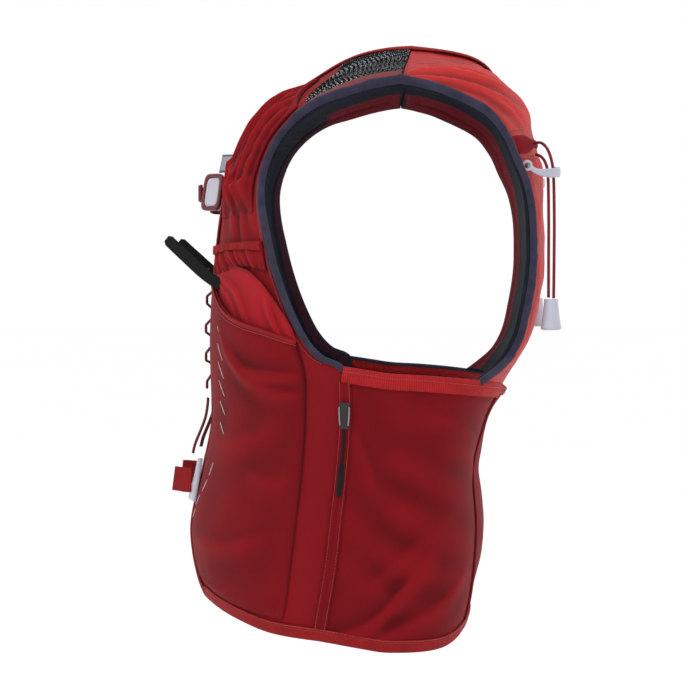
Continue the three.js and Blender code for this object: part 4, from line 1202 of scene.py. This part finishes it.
class VEST_OT_back_pocket(VestOperator):
    """The lower back pocket with its elastic top"""
    bl_idname = "vest.back_pocket"
    bl_label = "Lower back pocket"

    def stand(self, u, v, height=None):
        """The pocket's bulge, half a sine wave across and up, and the gape of its mouth."""
        rise = hill(np.maximum(u - 0.06, 0) / 1.88)
        bulge = size("back_pocket_bulge") * hill(v) * smooth(0.04, 0.3, v)
        return rise * (bulge + size("back_pocket_mouth") * smooth(0.8, 1, v))

    def build(self):
        us, sides = both_halves(eased(54, 0.007, 0.998, 0.2))

        def stand(u, v, height):
            across = np.where(np.asarray(sides)[None] > 0, u, 2 - u)
            x, y = across * 0.09, v * 0.18
            pulled = creases(x, y, [
                [12, 150, 50, 100, -6, 6, 1.4], [10, 120, 45, 60, -8, 6, 1.4],
                [168, 150, 130, 95, 6, 6, 1.4], [170, 110, 135, 60, 8, 6, 1.4],
                [60, 20, 120, 22, 6, 5, 1.2], [80, 165, 82, 110, 2, 4, 1],
                [110, 165, 106, 105, 2, 4, 0.9],
            ])
            edge = smooth(0, 0.1, u) * smooth(0, 0.06, v) * smooth(1, 0.93, v)
            gather = 0.35 * MM * np.cos(x * 2 * np.pi / 0.0075) * smooth(0.72, 0.9, v) * smooth(1.02, 0.96, v)
            soft = pulled + 0.3 * MM * (1 + ripple(x, y, 8, 0.04))
            return self.stand(u, v) + soft * edge + gather * smooth(0, 0.1, u)
        made = cloth_wall("back_pocket", LOWER_BACK, us, eased(84, 0, 1, 0.2), sides, "crimson", stand,
                          thickness=1.1 * MM,
                          stands_for="back_pocket", slot="stretch_crimson")
        share = share_of_rise("top_binding_width")

        def roll(u, v, height):
            return self.stand(u, v) + 0.3 * MM * np.cos(((v - 1) / share + 0.5) * np.pi) - 0.2 * MM
        cloth_wall("back_pocket_binding", LOWER_BACK, us[2:-2], even(16, 1 - share, 1.004), sides[2:-2], "binding",
                   roll,
                   1, 1.3 * MM, stands_for="back_pocket_binding", slot="binding")
        rows = []
        for shift in (0.25, 0.75):
            vs = np.full(len(us) - 8, 1 - share * shift)
            spots = LOWER_BACK(us[4:-4], vs)
            off = layer(1, spots[:, 1]) + self.stand(us[4:-4], vs) + 1.4 * MM
            rows.append(path_on(spots, off, sides[4:-4]))
        for points, out in rows:
            out[:, 0] = np.abs(out[:, 0]) * np.sign(points[:, 0] + 1e-9)
        stitches("stitches_back_pocket", rows, finish("red_thread"), slot="binding")


class VEST_OT_front_pockets(VestOperator):
    """Flask pockets with bound mouths, gathered chest sleeves with their bands, and loose chest pockets"""
    bl_idname = "vest.front_pockets"
    bl_label = "Front pockets"

    def flask_stand(self, u, v, height=None):
        """Half a sine wave across, times a low swell and a rise to the mouth."""
        return size("flask_bulge") * hill(u) ** 0.6 * (0.35 * hill(v * 0.9) + 0.65 * smooth(0.55, 1, v))

    def sleeve_stand(self, u, v, height=None):
        """A swell over the band, with six gathers across it."""
        swell = size("sleeve_bulge") * hill(u) ** 0.6 * smooth(-0.3, 0.6, v)
        return np.maximum(swell + 0.7 * MM * np.cos(12 * np.pi * u), 0)

    def chest_stand(self, u, v, height=None):
        """A bulge that hangs, fullest at its foot, with waves across and up; tuck draws the foot in."""
        folds = 0.17 * np.cos(5 * np.pi * u + 2 * v) * smooth(0, 0.5, hill(v)) + 0.1 * np.cos(7 * v)
        tuck = 0.12 + 0.63 * smooth(0, 0.2, v) + 0.25 * smooth(0.3, 0.75, v)
        return size("chest_bulge") * hill(u) ** 0.7 * np.sqrt(hill(0.5 + 0.5 * v)) * (0.85 + folds) * tuck

    def build(self):
        for name, side in SIDES:
            self.flask(name, side)
            self.sleeve(name, side)
            self.chest(name, side)

    def flask(self, name, side):
        """The pocket's cloth with its sags, the strip round its lip and the stitches under that."""
        def stand(u, v, height):
            x, y = u * 0.11, v * 0.2
            sags = creases(x, y, [
                [12, 135, 90, 130, -5, 6, 1], [15, 75, 95, 70, -5, 6, 1.2],
                [34, 184, 108, 166, -10, 4, 2.6], [50, 178, 110, 150, -8, 4, 1.8],
                [10, 30, 60, 35, -4, 6, 0.8], [70, 110, 104, 100, -3, 5, 0.8],
            ])
            edge = smooth(0, 0.1, u) * smooth(1, 0.9, u) * smooth(0, 0.06, v) * smooth(1, 0.95, v)
            return self.flask_stand(u, v) + (sags + 0.2 * MM * (1 + ripple(x, y, 21, 0.05))) * edge
        made = cloth_wall(f"flask_pocket_{name}", FLASK, eased(76, 0, 1, 0.3), eased(104, 0, 1, 0.3), side, "crimson",
                          stand, 1,
                          1.1 * MM, stands_for=f"flask_pocket_{name}", slot="stretch_crimson")
        share = share_of_rise("edging_width")
        us = even(90, 0.004, 0.996)
        spots = FLASK(us, np.full(91, 0.999))
        top = layer(1, spots[:, 1]) + self.flask_stand(us, np.full(91, 1.0))
        points, out = path_on(spots, top + 0.55 * MM, side)
        profile = wrap_profile(2.4 * MM, 2.4 * MM, -0.65 * MM, 0.65 * MM, 0.35 * MM, 0.6 * MM, 0.4 * MM)[0]
        profile = profile * [-side, 1]
        carried(f"flask_pocket_binding_{name}", points[::-side], out[::-side], profile, finish("binding"),
                stands_for=f"flask_pocket_binding_{name}", slot="binding")
        vs = np.full(91, 1 - 0.62 * share)
        spots = FLASK(us, vs)
        row = path_on(spots, layer(1, spots[:, 1]) + self.flask_stand(us, vs) + 1.9 * MM, side)
        stitches(f"stitches_flask_{name}", [row], finish("red_thread"), 2.2 * MM, 1.6 * MM, 0.45 * MM, slot="binding")
        self.mouth(name, side)
        self.dashes(name, side)

    def mouth(self, name, side):
        """The pocket's back wall shows above its lip as a leaf of folded cloth, with a rolled edge along its top. The
        leaf's colour is brightened well above the front cloth's: painted light over the shade inside the pocket.
        """
        low = line([[20, -0.37], [30, -0.412], [37.7, -0.434], [45.1, -0.448], [53.5, -0.46], [64, -0.471]])
        high = line([[20.5, -0.352], [30, -0.338], [42, -0.341], [49, -0.358], [54, -0.382], [58.5, -0.41],
                     [62.5, -0.44],
                     [64.3, -0.464]])
        leaf = patch(low, high, line([[20, -0.37], [20.5, -0.352]]), line([[64, -0.471], [64.3, -0.464]]))

        def stand(u, v, height=None):
            x, y = u * 0.11, v * 0.045
            folds = creases(x, y, [
                [2, 36, 66, 4, 4, 2.6, 1.8], [2, 26, 50, 0, 3, 2, 1.4],
                [66, 40, 106, 4, 3, 2.6, 3],
            ])
            edge = hill(u) ** 0.5
            return (2.6 * MM * v + folds * smooth(1, 0.85, v) + 0.2 * MM) * edge
        # Painted light: the leaf takes the brightened copy of the front cloth, so the inside of the mouth does not
        # read as shaded.
        cloth_wall(f"flask_back_{name}", leaf, even(96, 0.002, 0.998), even(36), side, "mouth", stand, 1, 0.9 * MM,
                   slot="stretch_bright")
        us = even(110, 0.004, 0.998)
        spots = leaf(us, np.full(111, 1.0))
        points, out = path_on(spots, layer(1, spots[:, 1]) + stand(us, np.full(111, 1.0)) + 0.9 * MM, side)
        carried(f"flask_back_edge_{name}", points, out, oval(2.0 * MM, 1.7 * MM, 12), finish("binding"),
                slot="binding")

    def dashes(self, name, side):
        """Pale reflective dashes down the front of the pocket, each a thin raised sliver that leans."""
        points, quads, start = [], [], 0
        for k in range(11):
            v0 = 0.925 - 0.0465 * k
            u0 = 0.245 - 0.15 * float(smooth(6.5, 10, k))
            tall, lean, wide = 0.032 + 0.004 * math.sin(k), (0.085 if k < 7 else -0.035), 0.006
            t = np.linspace(0, 1, 9)
            taper = 0.25 + 0.75 * hill(0.1 + 0.8 * t)
            for sign, lift in ((-1, 0.0), (1, 0.0), (1, 1), (-1, 1)):
                us, vs = u0 + lean * t + sign * wide * taper / 2, v0 - tall * t
                spots = FLASK(us, vs)
                off = layer(1, spots[:, 1]) + self.flask_stand(us, vs) + (1.3 + 0.35 * lift) * MM
                points.append(on_body(spots, off, side))
            index = start + np.arange(36).reshape(4, 9)
            ahead = np.roll(index, -1, axis=0)
            quads.append(np.stack([index[:, :-1], ahead[:, :-1], ahead[:, 1:], index[:, 1:]], -1).reshape(-1, 4))
            quads.append(index[:, 0][::-1][None])
            quads.append(index[:, -1][None])
            start += 36
        piece(f"reflective_dashes_{name}", np.concatenate(points), [np.concatenate(quads)], finish("print"),
              slot="pale_plastic")

    def sleeve(self, name, side):
        """The gathered sleeve, with eleven pleats that fade towards the band, and the band."""
        def stand(u, v, height):
            pleats = 0.9 * MM * np.cos(22 * np.pi * u + 0.6 * np.sin(5 * u)) * smooth(0.8, 0.3, v) * hill(u) ** 0.4
            return self.sleeve_stand(u, v) + pleats
        cloth_wall(f"chest_sleeve_{name}", SLEEVE, even(132), even(22), side, "bright", stand, 1, 1.1 * MM,
                   stands_for=f"chest_sleeve_{name}", slot="stretch_bright")

        def gathers(u, v, height):
            return self.sleeve_stand(u, v) + 0.25 * MM * np.cos(40 * np.pi * u) - 0.1 * MM
        cloth_wall(f"chest_band_{name}", SLEEVE, even(132, 0.01, 0.99), even(8, 0.66, 1.01), side, "binding", gathers,
                   2,
                   1.3 * MM, stands_for=f"chest_band_{name}", slot="binding")

    def chest(self, name, side):
        """The loose pocket: its bulge, sunk by 2.4 mm between the folds."""
        def stand(u, v, height):
            x, y = u * 0.07, v * 0.11
            folds = creases(x, y, [
                [16, 100, 12, 4, 6, 4, 4.4], [30, 106, 30, 0, 6, 3, 3],
                [46, 108, 44, 10, 5, 3.6, 4.2], [58, 100, 58, 16, 2, 2.6, 2.6],
                [8, 36, 50, 14, 4, 3, 2.4], [20, 20, 64, 30, -4, 3, 2.2],
            ])
            edge = smooth(0, 0.12, u) * smooth(1, 0.88, u) * smooth(1, 0.9, v)
            return self.chest_stand(u, v) + (folds - 2.4 * MM * hill(u) + 0.4 * MM * ripple(x, y, 31, 0.02)) * edge
        made = cloth_wall(f"chest_pocket_{name}", CHEST, eased(70, 0, 1, 0.3), eased(70, 0, 1, 0.3), side, "bright",
                          stand, 1,
                          1.1 * MM, stands_for=f"chest_pocket_{name}", slot="stretch_bright")


class VEST_OT_edges(VestOperator):
    """Armhole piping, neck edging, hem, side top bindings, seam tapes and their stitching"""
    bl_idname = "vest.edges"
    bl_label = "Edges"

    def build(self):
        for name, side in SIDES:
            self.piping(name, side)
            self.side_top(name, side)
            self.seams(name, side)
        self.neck()
        self.hem()

    def armhole(self):
        """Spots along the armhole edge from the side panel up over the shoulder and down the back."""
        front = FRONT(np.full(120, 0.998), np.linspace(7.95 / 22, 1, 120))
        back = UPPER_BACK(np.full(120, 0.004), np.linspace(1, 0.0, 120))[1:]
        return np.concatenate([front, back])

    def piping(self, name, side):
        """A strip folded round the armhole edge, raised by uneven puckers, and the dotted mesh beside it."""
        spots = self.armhole()
        height = spots[:, 1]
        high = layer(1, height) + 1.4 * MM * smooth(-0.1, -0.07, height) - 0.2 * MM
        points, out = path_on(spots, 0.0, side)
        share = np.linspace(0, 1, len(spots))
        puckers = 0.22 * MM * ripple(share, 0 * share, 41, 0.02) + 0.3 * MM * ripple(share, 0 * share, 43, 0.07)
        profile = wrap_profile(0.46 * size("piping_width"), 1.4 * MM, padding(height) - 0.3 * MM, high + puckers,
                               1.1 * MM, 0.9 * MM, 0.2 * MM)
        carried(f"armhole_piping_{name}", points[::side], out[::side], profile[::side], finish("piping"),
                stands_for=f"armhole_piping_{name}", slot="piping")
        inset = FRONT(np.full(120, 0.94), np.linspace(8.6 / 22, 0.8, 120))
        rows = [path_on(inset, layer(1, inset[:, 1]) + 0.5 * MM, side)]
        stitches(f"stitches_armhole_{name}", rows, finish("dark_thread"), slot="stretch_bright")
        # The dotted mesh strip beside the piping, widest on the shoulder
        us, vs = np.meshgrid(even(14), even(190, 0.5, 0.996))
        wide = 0.012 + 0.028 * smooth(0.52, 0.6, vs) + 0.13 * smooth(0.74, 0.93, vs)
        spots = FRONT(0.945 - wide * (1 - us), vs)
        on_mesh = smooth(mesh_from(0.9) - 0.015, mesh_from(0.9) + 0.01, vs)
        over = layer(1, spots[..., 1]) + 1.7 * MM * on_mesh - 0.3 * MM
        wall(f"edge_mesh_{name}", on_body(spots, over + 0.7 * MM, side), on_body(spots, over, side),
             finish("red_dots"), slot="lining")

    def side_top(self, name, side):
        """The elastic folded over the side panel's top, with a thin piping above it and two stitch rows."""
        us = even(110, 0.0, 1.0)
        share = share_of_rise("top_binding_width")
        spots = SIDE(us, np.full(111, 1.0))
        height = spots[:, 1]
        points, out = path_on(spots, 0.0, side)
        profile = wrap_profile(size("top_binding_width") - 0.3 * MM, 7 * MM, layer(0, height) - 0.2 * MM,
                               layer(1, height) - 0.1 * MM, 0.4 * MM, 0.9 * MM)
        # The elastic's finish is the binding colour brightened 1.3 times: painted highlight.
        carried(f"side_top_binding_{name}", points[::-side], out[::-side], profile[::-side], finish("elastic"),
                stands_for=f"side_top_binding_{name}", slot="binding")
        thin = SIDE(us, np.full(111, 1.006))
        points, out = path_on(thin, layer(0, thin[:, 1]) - 0.6 * MM, side)
        carried(f"side_top_piping_{name}", points, out, oval(3.2 * MM, 2.6 * MM, 10), finish("piping"), slot="piping")
        rows = []
        for inset in (0.3, 0.72):
            vs = np.full(111, 1 - share * inset)
            row = SIDE(us, vs)
            rows.append(path_on(row, layer(1, row[:, 1]) + 1.25 * MM, side))
        stitches(f"stitches_side_top_{name}", rows, finish("red_thread"), 2.4 * MM, 1.8 * MM, slot="binding")

    def seams(self, name, side):
        """Zip tape and rear seam tape: a crowned strip, the zip's with a groove between two ridges."""
        hem, top = size("hem_width") / (0.343 * size("body_drop")), share_of_rise("top_binding_width")
        vs = np.linspace(1.1 * hem, 1 - 1.1 * top, 90)
        rows = []
        for kind, u, wide, lift in (("zip_tape", 0.0, "zip_tape_width", 0.2),
                                    ("rear_seam_tape", 1.0, "seam_tape_width", 0.5)):
            spots = SIDE(np.full(90, u), vs)
            points, out = path_on(spots, layer(1, spots[:, 1]) + 0.8 * MM, side)
            width = size(wide)
            across = np.linspace(-1, 1, 17)
            rise = lift * MM * np.cos(across * np.pi / 2) + 0.35 * MM
            if kind == "zip_tape":
                ridges = 0.5 * MM * np.exp(-((np.abs(across) - 0.35) / 0.22) ** 2)
                rise = rise + ridges - 0.35 * MM * np.exp(-(across / 0.12) ** 2)
            upper = np.stack([across * width / 2, rise], -1)
            lower = np.stack([across[::-1] * width / 2, np.full(17, -0.75 * MM)], -1)
            carried(f"{kind}_{name}", points, out, np.concatenate([upper, lower]), finish("crimson"),
                    stands_for=f"{kind}_{name}", slot="binding")
            for shift in ((-0.74, 0.74) if kind == "zip_tape" else (0,)):
                _, side_way, _ = frames(points, out)
                rows.append((points + side_way * shift * width / 2 + out * 0.55 * MM, out))
        stitches(f"stitches_seams_{name}", rows, finish("red_thread"), 2.6 * MM, 1.8 * MM, 0.45 * MM, slot="binding")

    def neck(self):
        """One edging up the left front edge, round the neck and down the right."""
        front = FRONT(np.full(150, 0.002), np.linspace(0.004, 1, 150))
        neck = UPPER_BACK(np.full(60, 0.998), np.linspace(1, NECK_CORNER, 60))[1:]
        half = np.concatenate([front, neck])
        points, out, height = up_and_over(half)
        high = layer(1, height) + 0.2 * MM
        profile = wrap_profile(size("edging_width"), 4 * MM, 0.4 * MM + 0 * high, high, 0.7 * MM, 0.8 * MM)
        carried("neck_edging", points[::-1], out[::-1], profile[::-1], finish("binding"), stands_for="neck_edging",
                slot="binding")
        inset = FRONT(np.full(150, 0.05), np.linspace(0.03, 0.99, 150))
        rows = [path_on(inset, layer(1, inset[:, 1]) + 0.2 * MM, side) for _, side in SIDES]
        stitches("stitches_front_edges", rows, finish("dark_thread"), slot="stretch_bright")

    def hem(self):
        """The hem binding runs round the whole lower edge, from one front edge to the other."""
        half = np.concatenate([
            FRONT(np.linspace(0.0, 1, 90), np.zeros(90)), SIDE(np.linspace(0, 1, 90), np.zeros(90))[1:],
            LOWER_BACK(np.linspace(0, 1, 60), np.zeros(60))[1:],
        ])
        points, out, height = up_and_over(half)
        points = resampled(np.concatenate([points, out, height[:, None]], 1), count=340)
        points, out, height = points[:, :3], points[:, 3:6], points[:, 6]
        high = layer(1, height) - 0.1 * MM
        profile = wrap_profile(size("hem_width") - 0.2 * MM, 6 * MM, 0.2 * MM + 0 * high, high, 0.7 * MM, 0.9 * MM)
        carried("hem_binding", points, out, profile, finish("binding"), stands_for="hem_binding", slot="binding")
        _, across, up = frames(points, out)
        rows = [(points - across * inset * MM + up * (high[:, None] + 1.35 * MM), out) for inset in (5.6, 7.0)]
        stitches("stitches_hem", rows, finish("red_thread"), 3.7 * MM, 2.7 * MM, slot="binding")


class VEST_OT_zips(VestOperator):
    """Zip sliders with their cord pullers"""
    bl_idname = "vest.zips"
    bl_label = "Zip sliders"

    def build(self):
        for name, side in SIDES:
            self.slider(name, side)

    def slider(self, name, side):
        """A waisted body on the tape; below it a cord and a moulded grip, all hanging down the zip."""
        vs = np.linspace(0.885, 0.79, 40)
        spots = SIDE(np.zeros(40), vs)
        points, out = path_on(spots, layer(1, spots[:, 1]) + 3.2 * MM, side)
        share = np.linspace(0, 1, 40)[:, None, None]
        wide = 8.6 * MM * (0.55 + 0.45 * np.sqrt(hill(0.12 + 0.76 * share))) * (1 - 0.25 * share)
        tall = 2.9 * MM * (0.6 + 0.4 * hill(share) ** 0.5)
        section = sized(oval(1, 1, 20), wide, tall)
        carried(f"zip_slider_{name}", points, out, section, finish("slider"), stands_for=f"zip_slider_{name}",
                slot="black_metal")
        for sign in (-1, 1):
            _, across, up = frames(points, out)
            rail = points + across * sign * wide[:, 0] * 0.46 + up * 0.9 * MM
            carried(f"slider_rail_{'front' if sign < 0 else 'rear'}_{name}", rail[6:34], out[6:34],
                    oval(1.0 * MM, 1.2 * MM, 8),
                    finish("steel"), slot="black_metal")
        vs = np.linspace(0.805, 0.62, 60)
        sway = 0.012 * np.sin(np.linspace(0, 3, 60))
        spots = SIDE(sway * 0.4, vs)
        points, out = path_on(spots, layer(1, spots[:, 1]) + 3.4 * MM, side)
        carried(f"zip_cord_{name}", points, out, oval(2.0 * MM, 1.8 * MM, 10), finish("tab"), slot="black_metal")
        vs = np.linspace(0.665, 0.555, 40)
        spots = SIDE(np.zeros(40) + 0.004, vs)
        points, out = path_on(spots, layer(1, spots[:, 1]) + 3.1 * MM, side)
        share = np.linspace(0, 1, 40)[:, None, None]
        section = sized(oval(1, 1, 20), 4.4 * MM * hill(0.12 + 0.78 * share) ** 0.3,
                        3.0 * MM * hill(0.1 + 0.8 * share) ** 0.4)
        carried(f"zip_grip_{name}", points, out, section, finish("tab"), slot="black_metal")


class VEST_OT_closure(VestOperator):
    """Ribbon loops, buckles, the strap between them and the zigzag lace"""
    bl_idname = "vest.closure"
    bl_label = "Front closure"

    def build(self):
        for name, side in SIDES:
            self.ribbon_loop(name, side)
            self.buckle(name, side)
        self.strap()
        self.lace()

    @staticmethod
    def anchor(side, height):
        off = layer(1, 0) + 2.4 * MM + size("webbing") / 2 + size("gap")
        return on_body(np.array([20.5, height]), off, side)

    @staticmethod
    def up_the_edge(side, height):
        low, high = on_body(np.array([[20.5, height - 0.02], [20.5, height + 0.02]]), np.zeros(2), side)
        return unit(high - low)

    def ribbon_loop(self, name, side):
        """A flat ribbon on a smooth path out and back over the strap's edge; edge marks its two borders."""
        rows = np.array([[3, 0.6, 0], [-1, -0.8, 0], [-5, -4, 0], [-8.5, -8.5, 0]]) * [side, 1, 1] * MM
        rows = rows + self.anchor(side, -0.16)
        route = smooth_path(rows, 40)
        out = np.tile(self.up_the_edge(side, -0.16), (len(route), 1))
        across = np.linspace(-1, 1, 25)
        half, thick = 7 * MM, 0.5 * MM
        profile = np.concatenate([np.stack([np.full(25, thick), across * half], -1),
                                  np.stack([np.full(25, -thick), -across * half], -1)])
        made = carried(f"ribbon_loop_{name}", route, out, profile, finish("ribbon"), stands_for=f"ribbon_loop_{name}",
                       slot="grey_ribbon")
        edge = np.tile(smooth(0.72, 0.8, np.abs(profile[:, 1]) / half), len(route))
        made.data.attributes.new("edge", "FLOAT", "POINT").data.foreach_set("value", edge.astype(np.float32))

    def buckle(self, name, side):
        """A rim and a bare face, both rounded plates: a superellipse outline with a rounded edge."""
        lean = self.up_the_edge(side, -0.207)
        centre = self.anchor(side, -0.207) + np.array([-side * 7.2, -7.6, 0]) * MM
        across = np.array([math.cos(0.82), side * math.sin(0.82), 0.0])
        up = unit(lean - across * (lean @ across))
        out = np.cross(across, up)
        out = out * (1 if out[1] < 0 else -1)
        turn = np.linspace(0, 2 * np.pi, 64, endpoint=False)
        c, s = np.cos(turn), np.sin(turn)
        reach = (np.abs(c) ** 5 + np.abs(s) ** 5) ** (-1 / 5)
        outline = np.stack([c * reach, s * reach], -1)

        def rings(rows):
            """rows: half width, half height and out of each ring, in millimetres"""
            return np.stack([centre + (outline[:, :1] * across * w + outline[:, 1:] * up * h + out * z) * MM for w, h,
                             z in rows])
        rim = rings([(7.1, 11.1, -1.1), (7.0, 11.0, 1.1), (7.6, 11.6, 1.5), (9.2, 13.2, 1.5), (9.9, 13.9, 1.0),
                     (10, 14, 0.2), (9.9, 13.9, -1.2),
                     (9.4, 13.4, -1.5), (7.4, 11.4, -1.5)])
        index = np.arange(rim.shape[0] * 64).reshape(-1, 64)
        nxt = np.roll(index, -1, axis=0)
        quads = np.stack([index, np.roll(index, -1, 1), np.roll(nxt, -1, 1), nxt], -1).reshape(-1, 4)
        piece(f"buckle_rim_{name}", rim.reshape(-1, 3), [quads], finish("red_plastic"),
              stands_for=f"buckle_rim_{name}", slot="red_plastic")
        face = rings([(1, 1, -0.9), (6.5, 10.5, -0.9), (6.8, 10.7, -0.6), (6.8, 10.7, 0.5), (6.3, 10.3, 0.95),
                      (4.5, 8.5, 1.05), (4.2, 8.2, 0.75),
                      (2, 5, 0.7), (0.6, 0.8, 0.7)])
        tube(f"buckle_face_{name}", face, finish("pale"), stands_for=f"buckle_face_{name}", slot="pale_plastic")

    def strap(self):
        """A flat band on a smooth path from buckle to buckle, bowed forwards."""
        x, y, z = self.anchor(1, -0.207)
        half = [[x - 15.2 * MM, y - 16.2 * MM, z], [x - 30 * MM, y - 19 * MM, z]]
        rows = np.array([*half, [0, y - 20 * MM, z], *[[-a, b, c] for a, b, c in half[::-1]]])
        route = smooth_path(rows, 90)
        carried("sternum_strap", route, np.tile([0.0, 0.0, 1.0], (len(route), 1)),
                strap_profile(12 * MM, 1.6 * MM, 9)[:, ::-1],
                finish("webbing"), stands_for="sternum_strap", slot="dark_webbing")

    def lace(self):
        """Nine turns from edge to edge, each a short run up the edge, joined by sagging spans."""
        rows = []
        for k in range(9):
            side = -1 if k % 2 else 1
            height = (-0.143 - 0.0105 * k) / size("body_drop")
            off = layer(1, height) + 2.4 * MM + 0.8 * MM + size("lace_diameter") / 2
            at = on_body(np.array([16.4, height]), off, side)
            rows += [at + np.array([-3.5 * side, -0.4, 2.6]) * MM, at, at + np.array([-3.5 * side, -0.4, -2.6]) * MM]
        route = resampled(np.array(rows), count=520)
        kernel = np.hanning(9) / np.hanning(9).sum()
        padded = np.pad(route, ((4, 4), (0, 0)), mode="edge")
        route = np.stack([np.convolve(padded[:, k], kernel, mode="valid") for k in range(3)], -1)
        carried("front_lace", route, np.tile([0.0, -1.0, 0.0], (len(route), 1)), oval(2.0 * MM, 2.0 * MM, 8),
                finish("webbing"),
                stands_for="front_lace", slot="cord")


class VEST_OT_tabs(VestOperator):
    """Pull tabs of the flask pockets, and the lower straps with their clips and webbing tabs"""
    bl_idname = "vest.tabs"
    bl_label = "Tabs and lower straps"

    def build(self):
        for name, side in SIDES:
            root = on_body(np.array([27.5, -0.369]), layer(1, 0) + size("webbing"), side)
            rows = np.array([[0, 0, 0], [-5, -12.5, 8.5], [-11, -27, 21.5], [-17, -41, 34.5]])
            rows = rows * [side, 1, 1] * MM + root
            route = smooth_path(rows, 70)
            out = np.tile([side * 0.94, -0.34, 0.0], (len(route), 1))
            share = np.linspace(0, 1, len(route))[:, None, None]
            wide = 8.8 * MM * (1 - 0.35 * smooth(0.95, 1.0, share) - 0.1 * smooth(0.05, 0, share))
            section = sized(strap_profile(1, 0.15, 9), wide, 1.5 * MM / 0.15)
            carried(f"pull_tab_{name}", route, out, section, finish("tab"), stands_for=f"pull_tab_{name}",
                    slot="black_tab")
            self.lower(name, side)

    def lower(self, name, side):
        """The lower strap, bowed out by an S curve, its clip, a plate with a rounded rim, and the webbing tab."""
        def low(height):
            return layer(1, height) + 2.4 * MM + 0.8 * MM
        rows = np.array([[16.2, -0.57], [15.9, -0.61], [15.8, -0.65], [15.8, -0.676]])
        spots = line(rows)(np.linspace(0, 1, 50))
        bow = 6.5 * MM * smooth(0, 0.85, np.linspace(0, 1, 50))
        points, out = path_on(spots, low(spots[:, 1]) + 0.8 * MM + bow, side)
        carried(f"lower_strap_{name}", points, out, strap_profile(7 * MM, 1.4 * MM, 5), finish("webbing"),
                stands_for=f"lower_strap_{name}", slot="dark_webbing")
        clip = patch(line([[14.6, -0.758], [22.4, -0.758]]), line([[15, -0.682], [17.4, -0.682]]),
                     line([[14.6, -0.758], [15, -0.682]]), line([[22.4, -0.758], [17.4, -0.682]]))
        u, v = np.meshgrid(eased(30), eased(40))
        spots = clip(u, v)
        lift = layer(1, spots[..., 1]) + 2.4 * MM + 0.56 * MM
        plain = on_body(spots, lift, side)
        full = np.sqrt(1 - (1 - np.clip(rim_distance(plain) / (1.5 * MM), 0, 1)) ** 2)
        wall(f"edge_clip_{name}", on_body(spots, lift + (1.2 + 2.0 * full) * MM, side), plain, finish("pale"),
             stands_for=f"edge_clip_{name}", slot="pale_plastic")
        root = on_body(np.array([18, -0.724]), low(-0.7) + 3.2 * MM + 1.84 * MM, side)
        rows = np.array([[0, 0, 0], [-2.5, -4.5, 0], [-6, -9, 0.6], [-9, -13.5, 1]]) * [side, 1, 1] * MM + root
        route = smooth_path(rows, 40)
        up = VEST_OT_closure.up_the_edge(side, -0.724)
        carried(f"lower_tab_{name}", route, np.tile(up, (len(route), 1)),
                strap_profile(18 * MM, 1.4 * MM, 13)[:, ::-1],
                finish("binding"), stands_for=f"lower_tab_{name}", slot="binding")


class VEST_PT_panel(bpy.types.Panel):
    """The vest's steps, sizes and colours"""
    bl_idname = "VEST_PT_panel"
    bl_label = "Running vest"
    bl_space_type = "VIEW_3D"
    bl_region_type = "UI"
    bl_category = "Vest"

    def draw(self, context):
        for step in STEPS:
            self.layout.operator(step.bl_idname)
        for group, names in ((context.scene.vest_sizes, SIZE_ROWS), (context.scene.vest_colours, COLOUR_ROWS)):
            for name in names:
                self.layout.prop(group, name)


STEPS = (
    VEST_OT_stage, VEST_OT_drawcords, VEST_OT_linings, VEST_OT_front, VEST_OT_side_panels, VEST_OT_back_bag,
    VEST_OT_back_pocket, VEST_OT_front_pockets, VEST_OT_edges, VEST_OT_zips, VEST_OT_closure, VEST_OT_tabs,
)
CLASSES = (VestSizes, VestColours, *STEPS, VEST_PT_panel)


def register():
    for cls in CLASSES:
        bpy.utils.register_class(cls)
    bpy.types.Scene.vest_sizes = PointerProperty(type=VestSizes)
    bpy.types.Scene.vest_colours = PointerProperty(type=VestColours)


def unregister():
    del bpy.types.Scene.vest_sizes, bpy.types.Scene.vest_colours
    for cls in reversed(CLASSES):
        bpy.utils.unregister_class(cls)


def main():
    register()
    for step in STEPS:
        group, name = step.bl_idname.split(".")
        getattr(getattr(bpy.ops, group), name)()


if __name__ == "__main__":
    main()
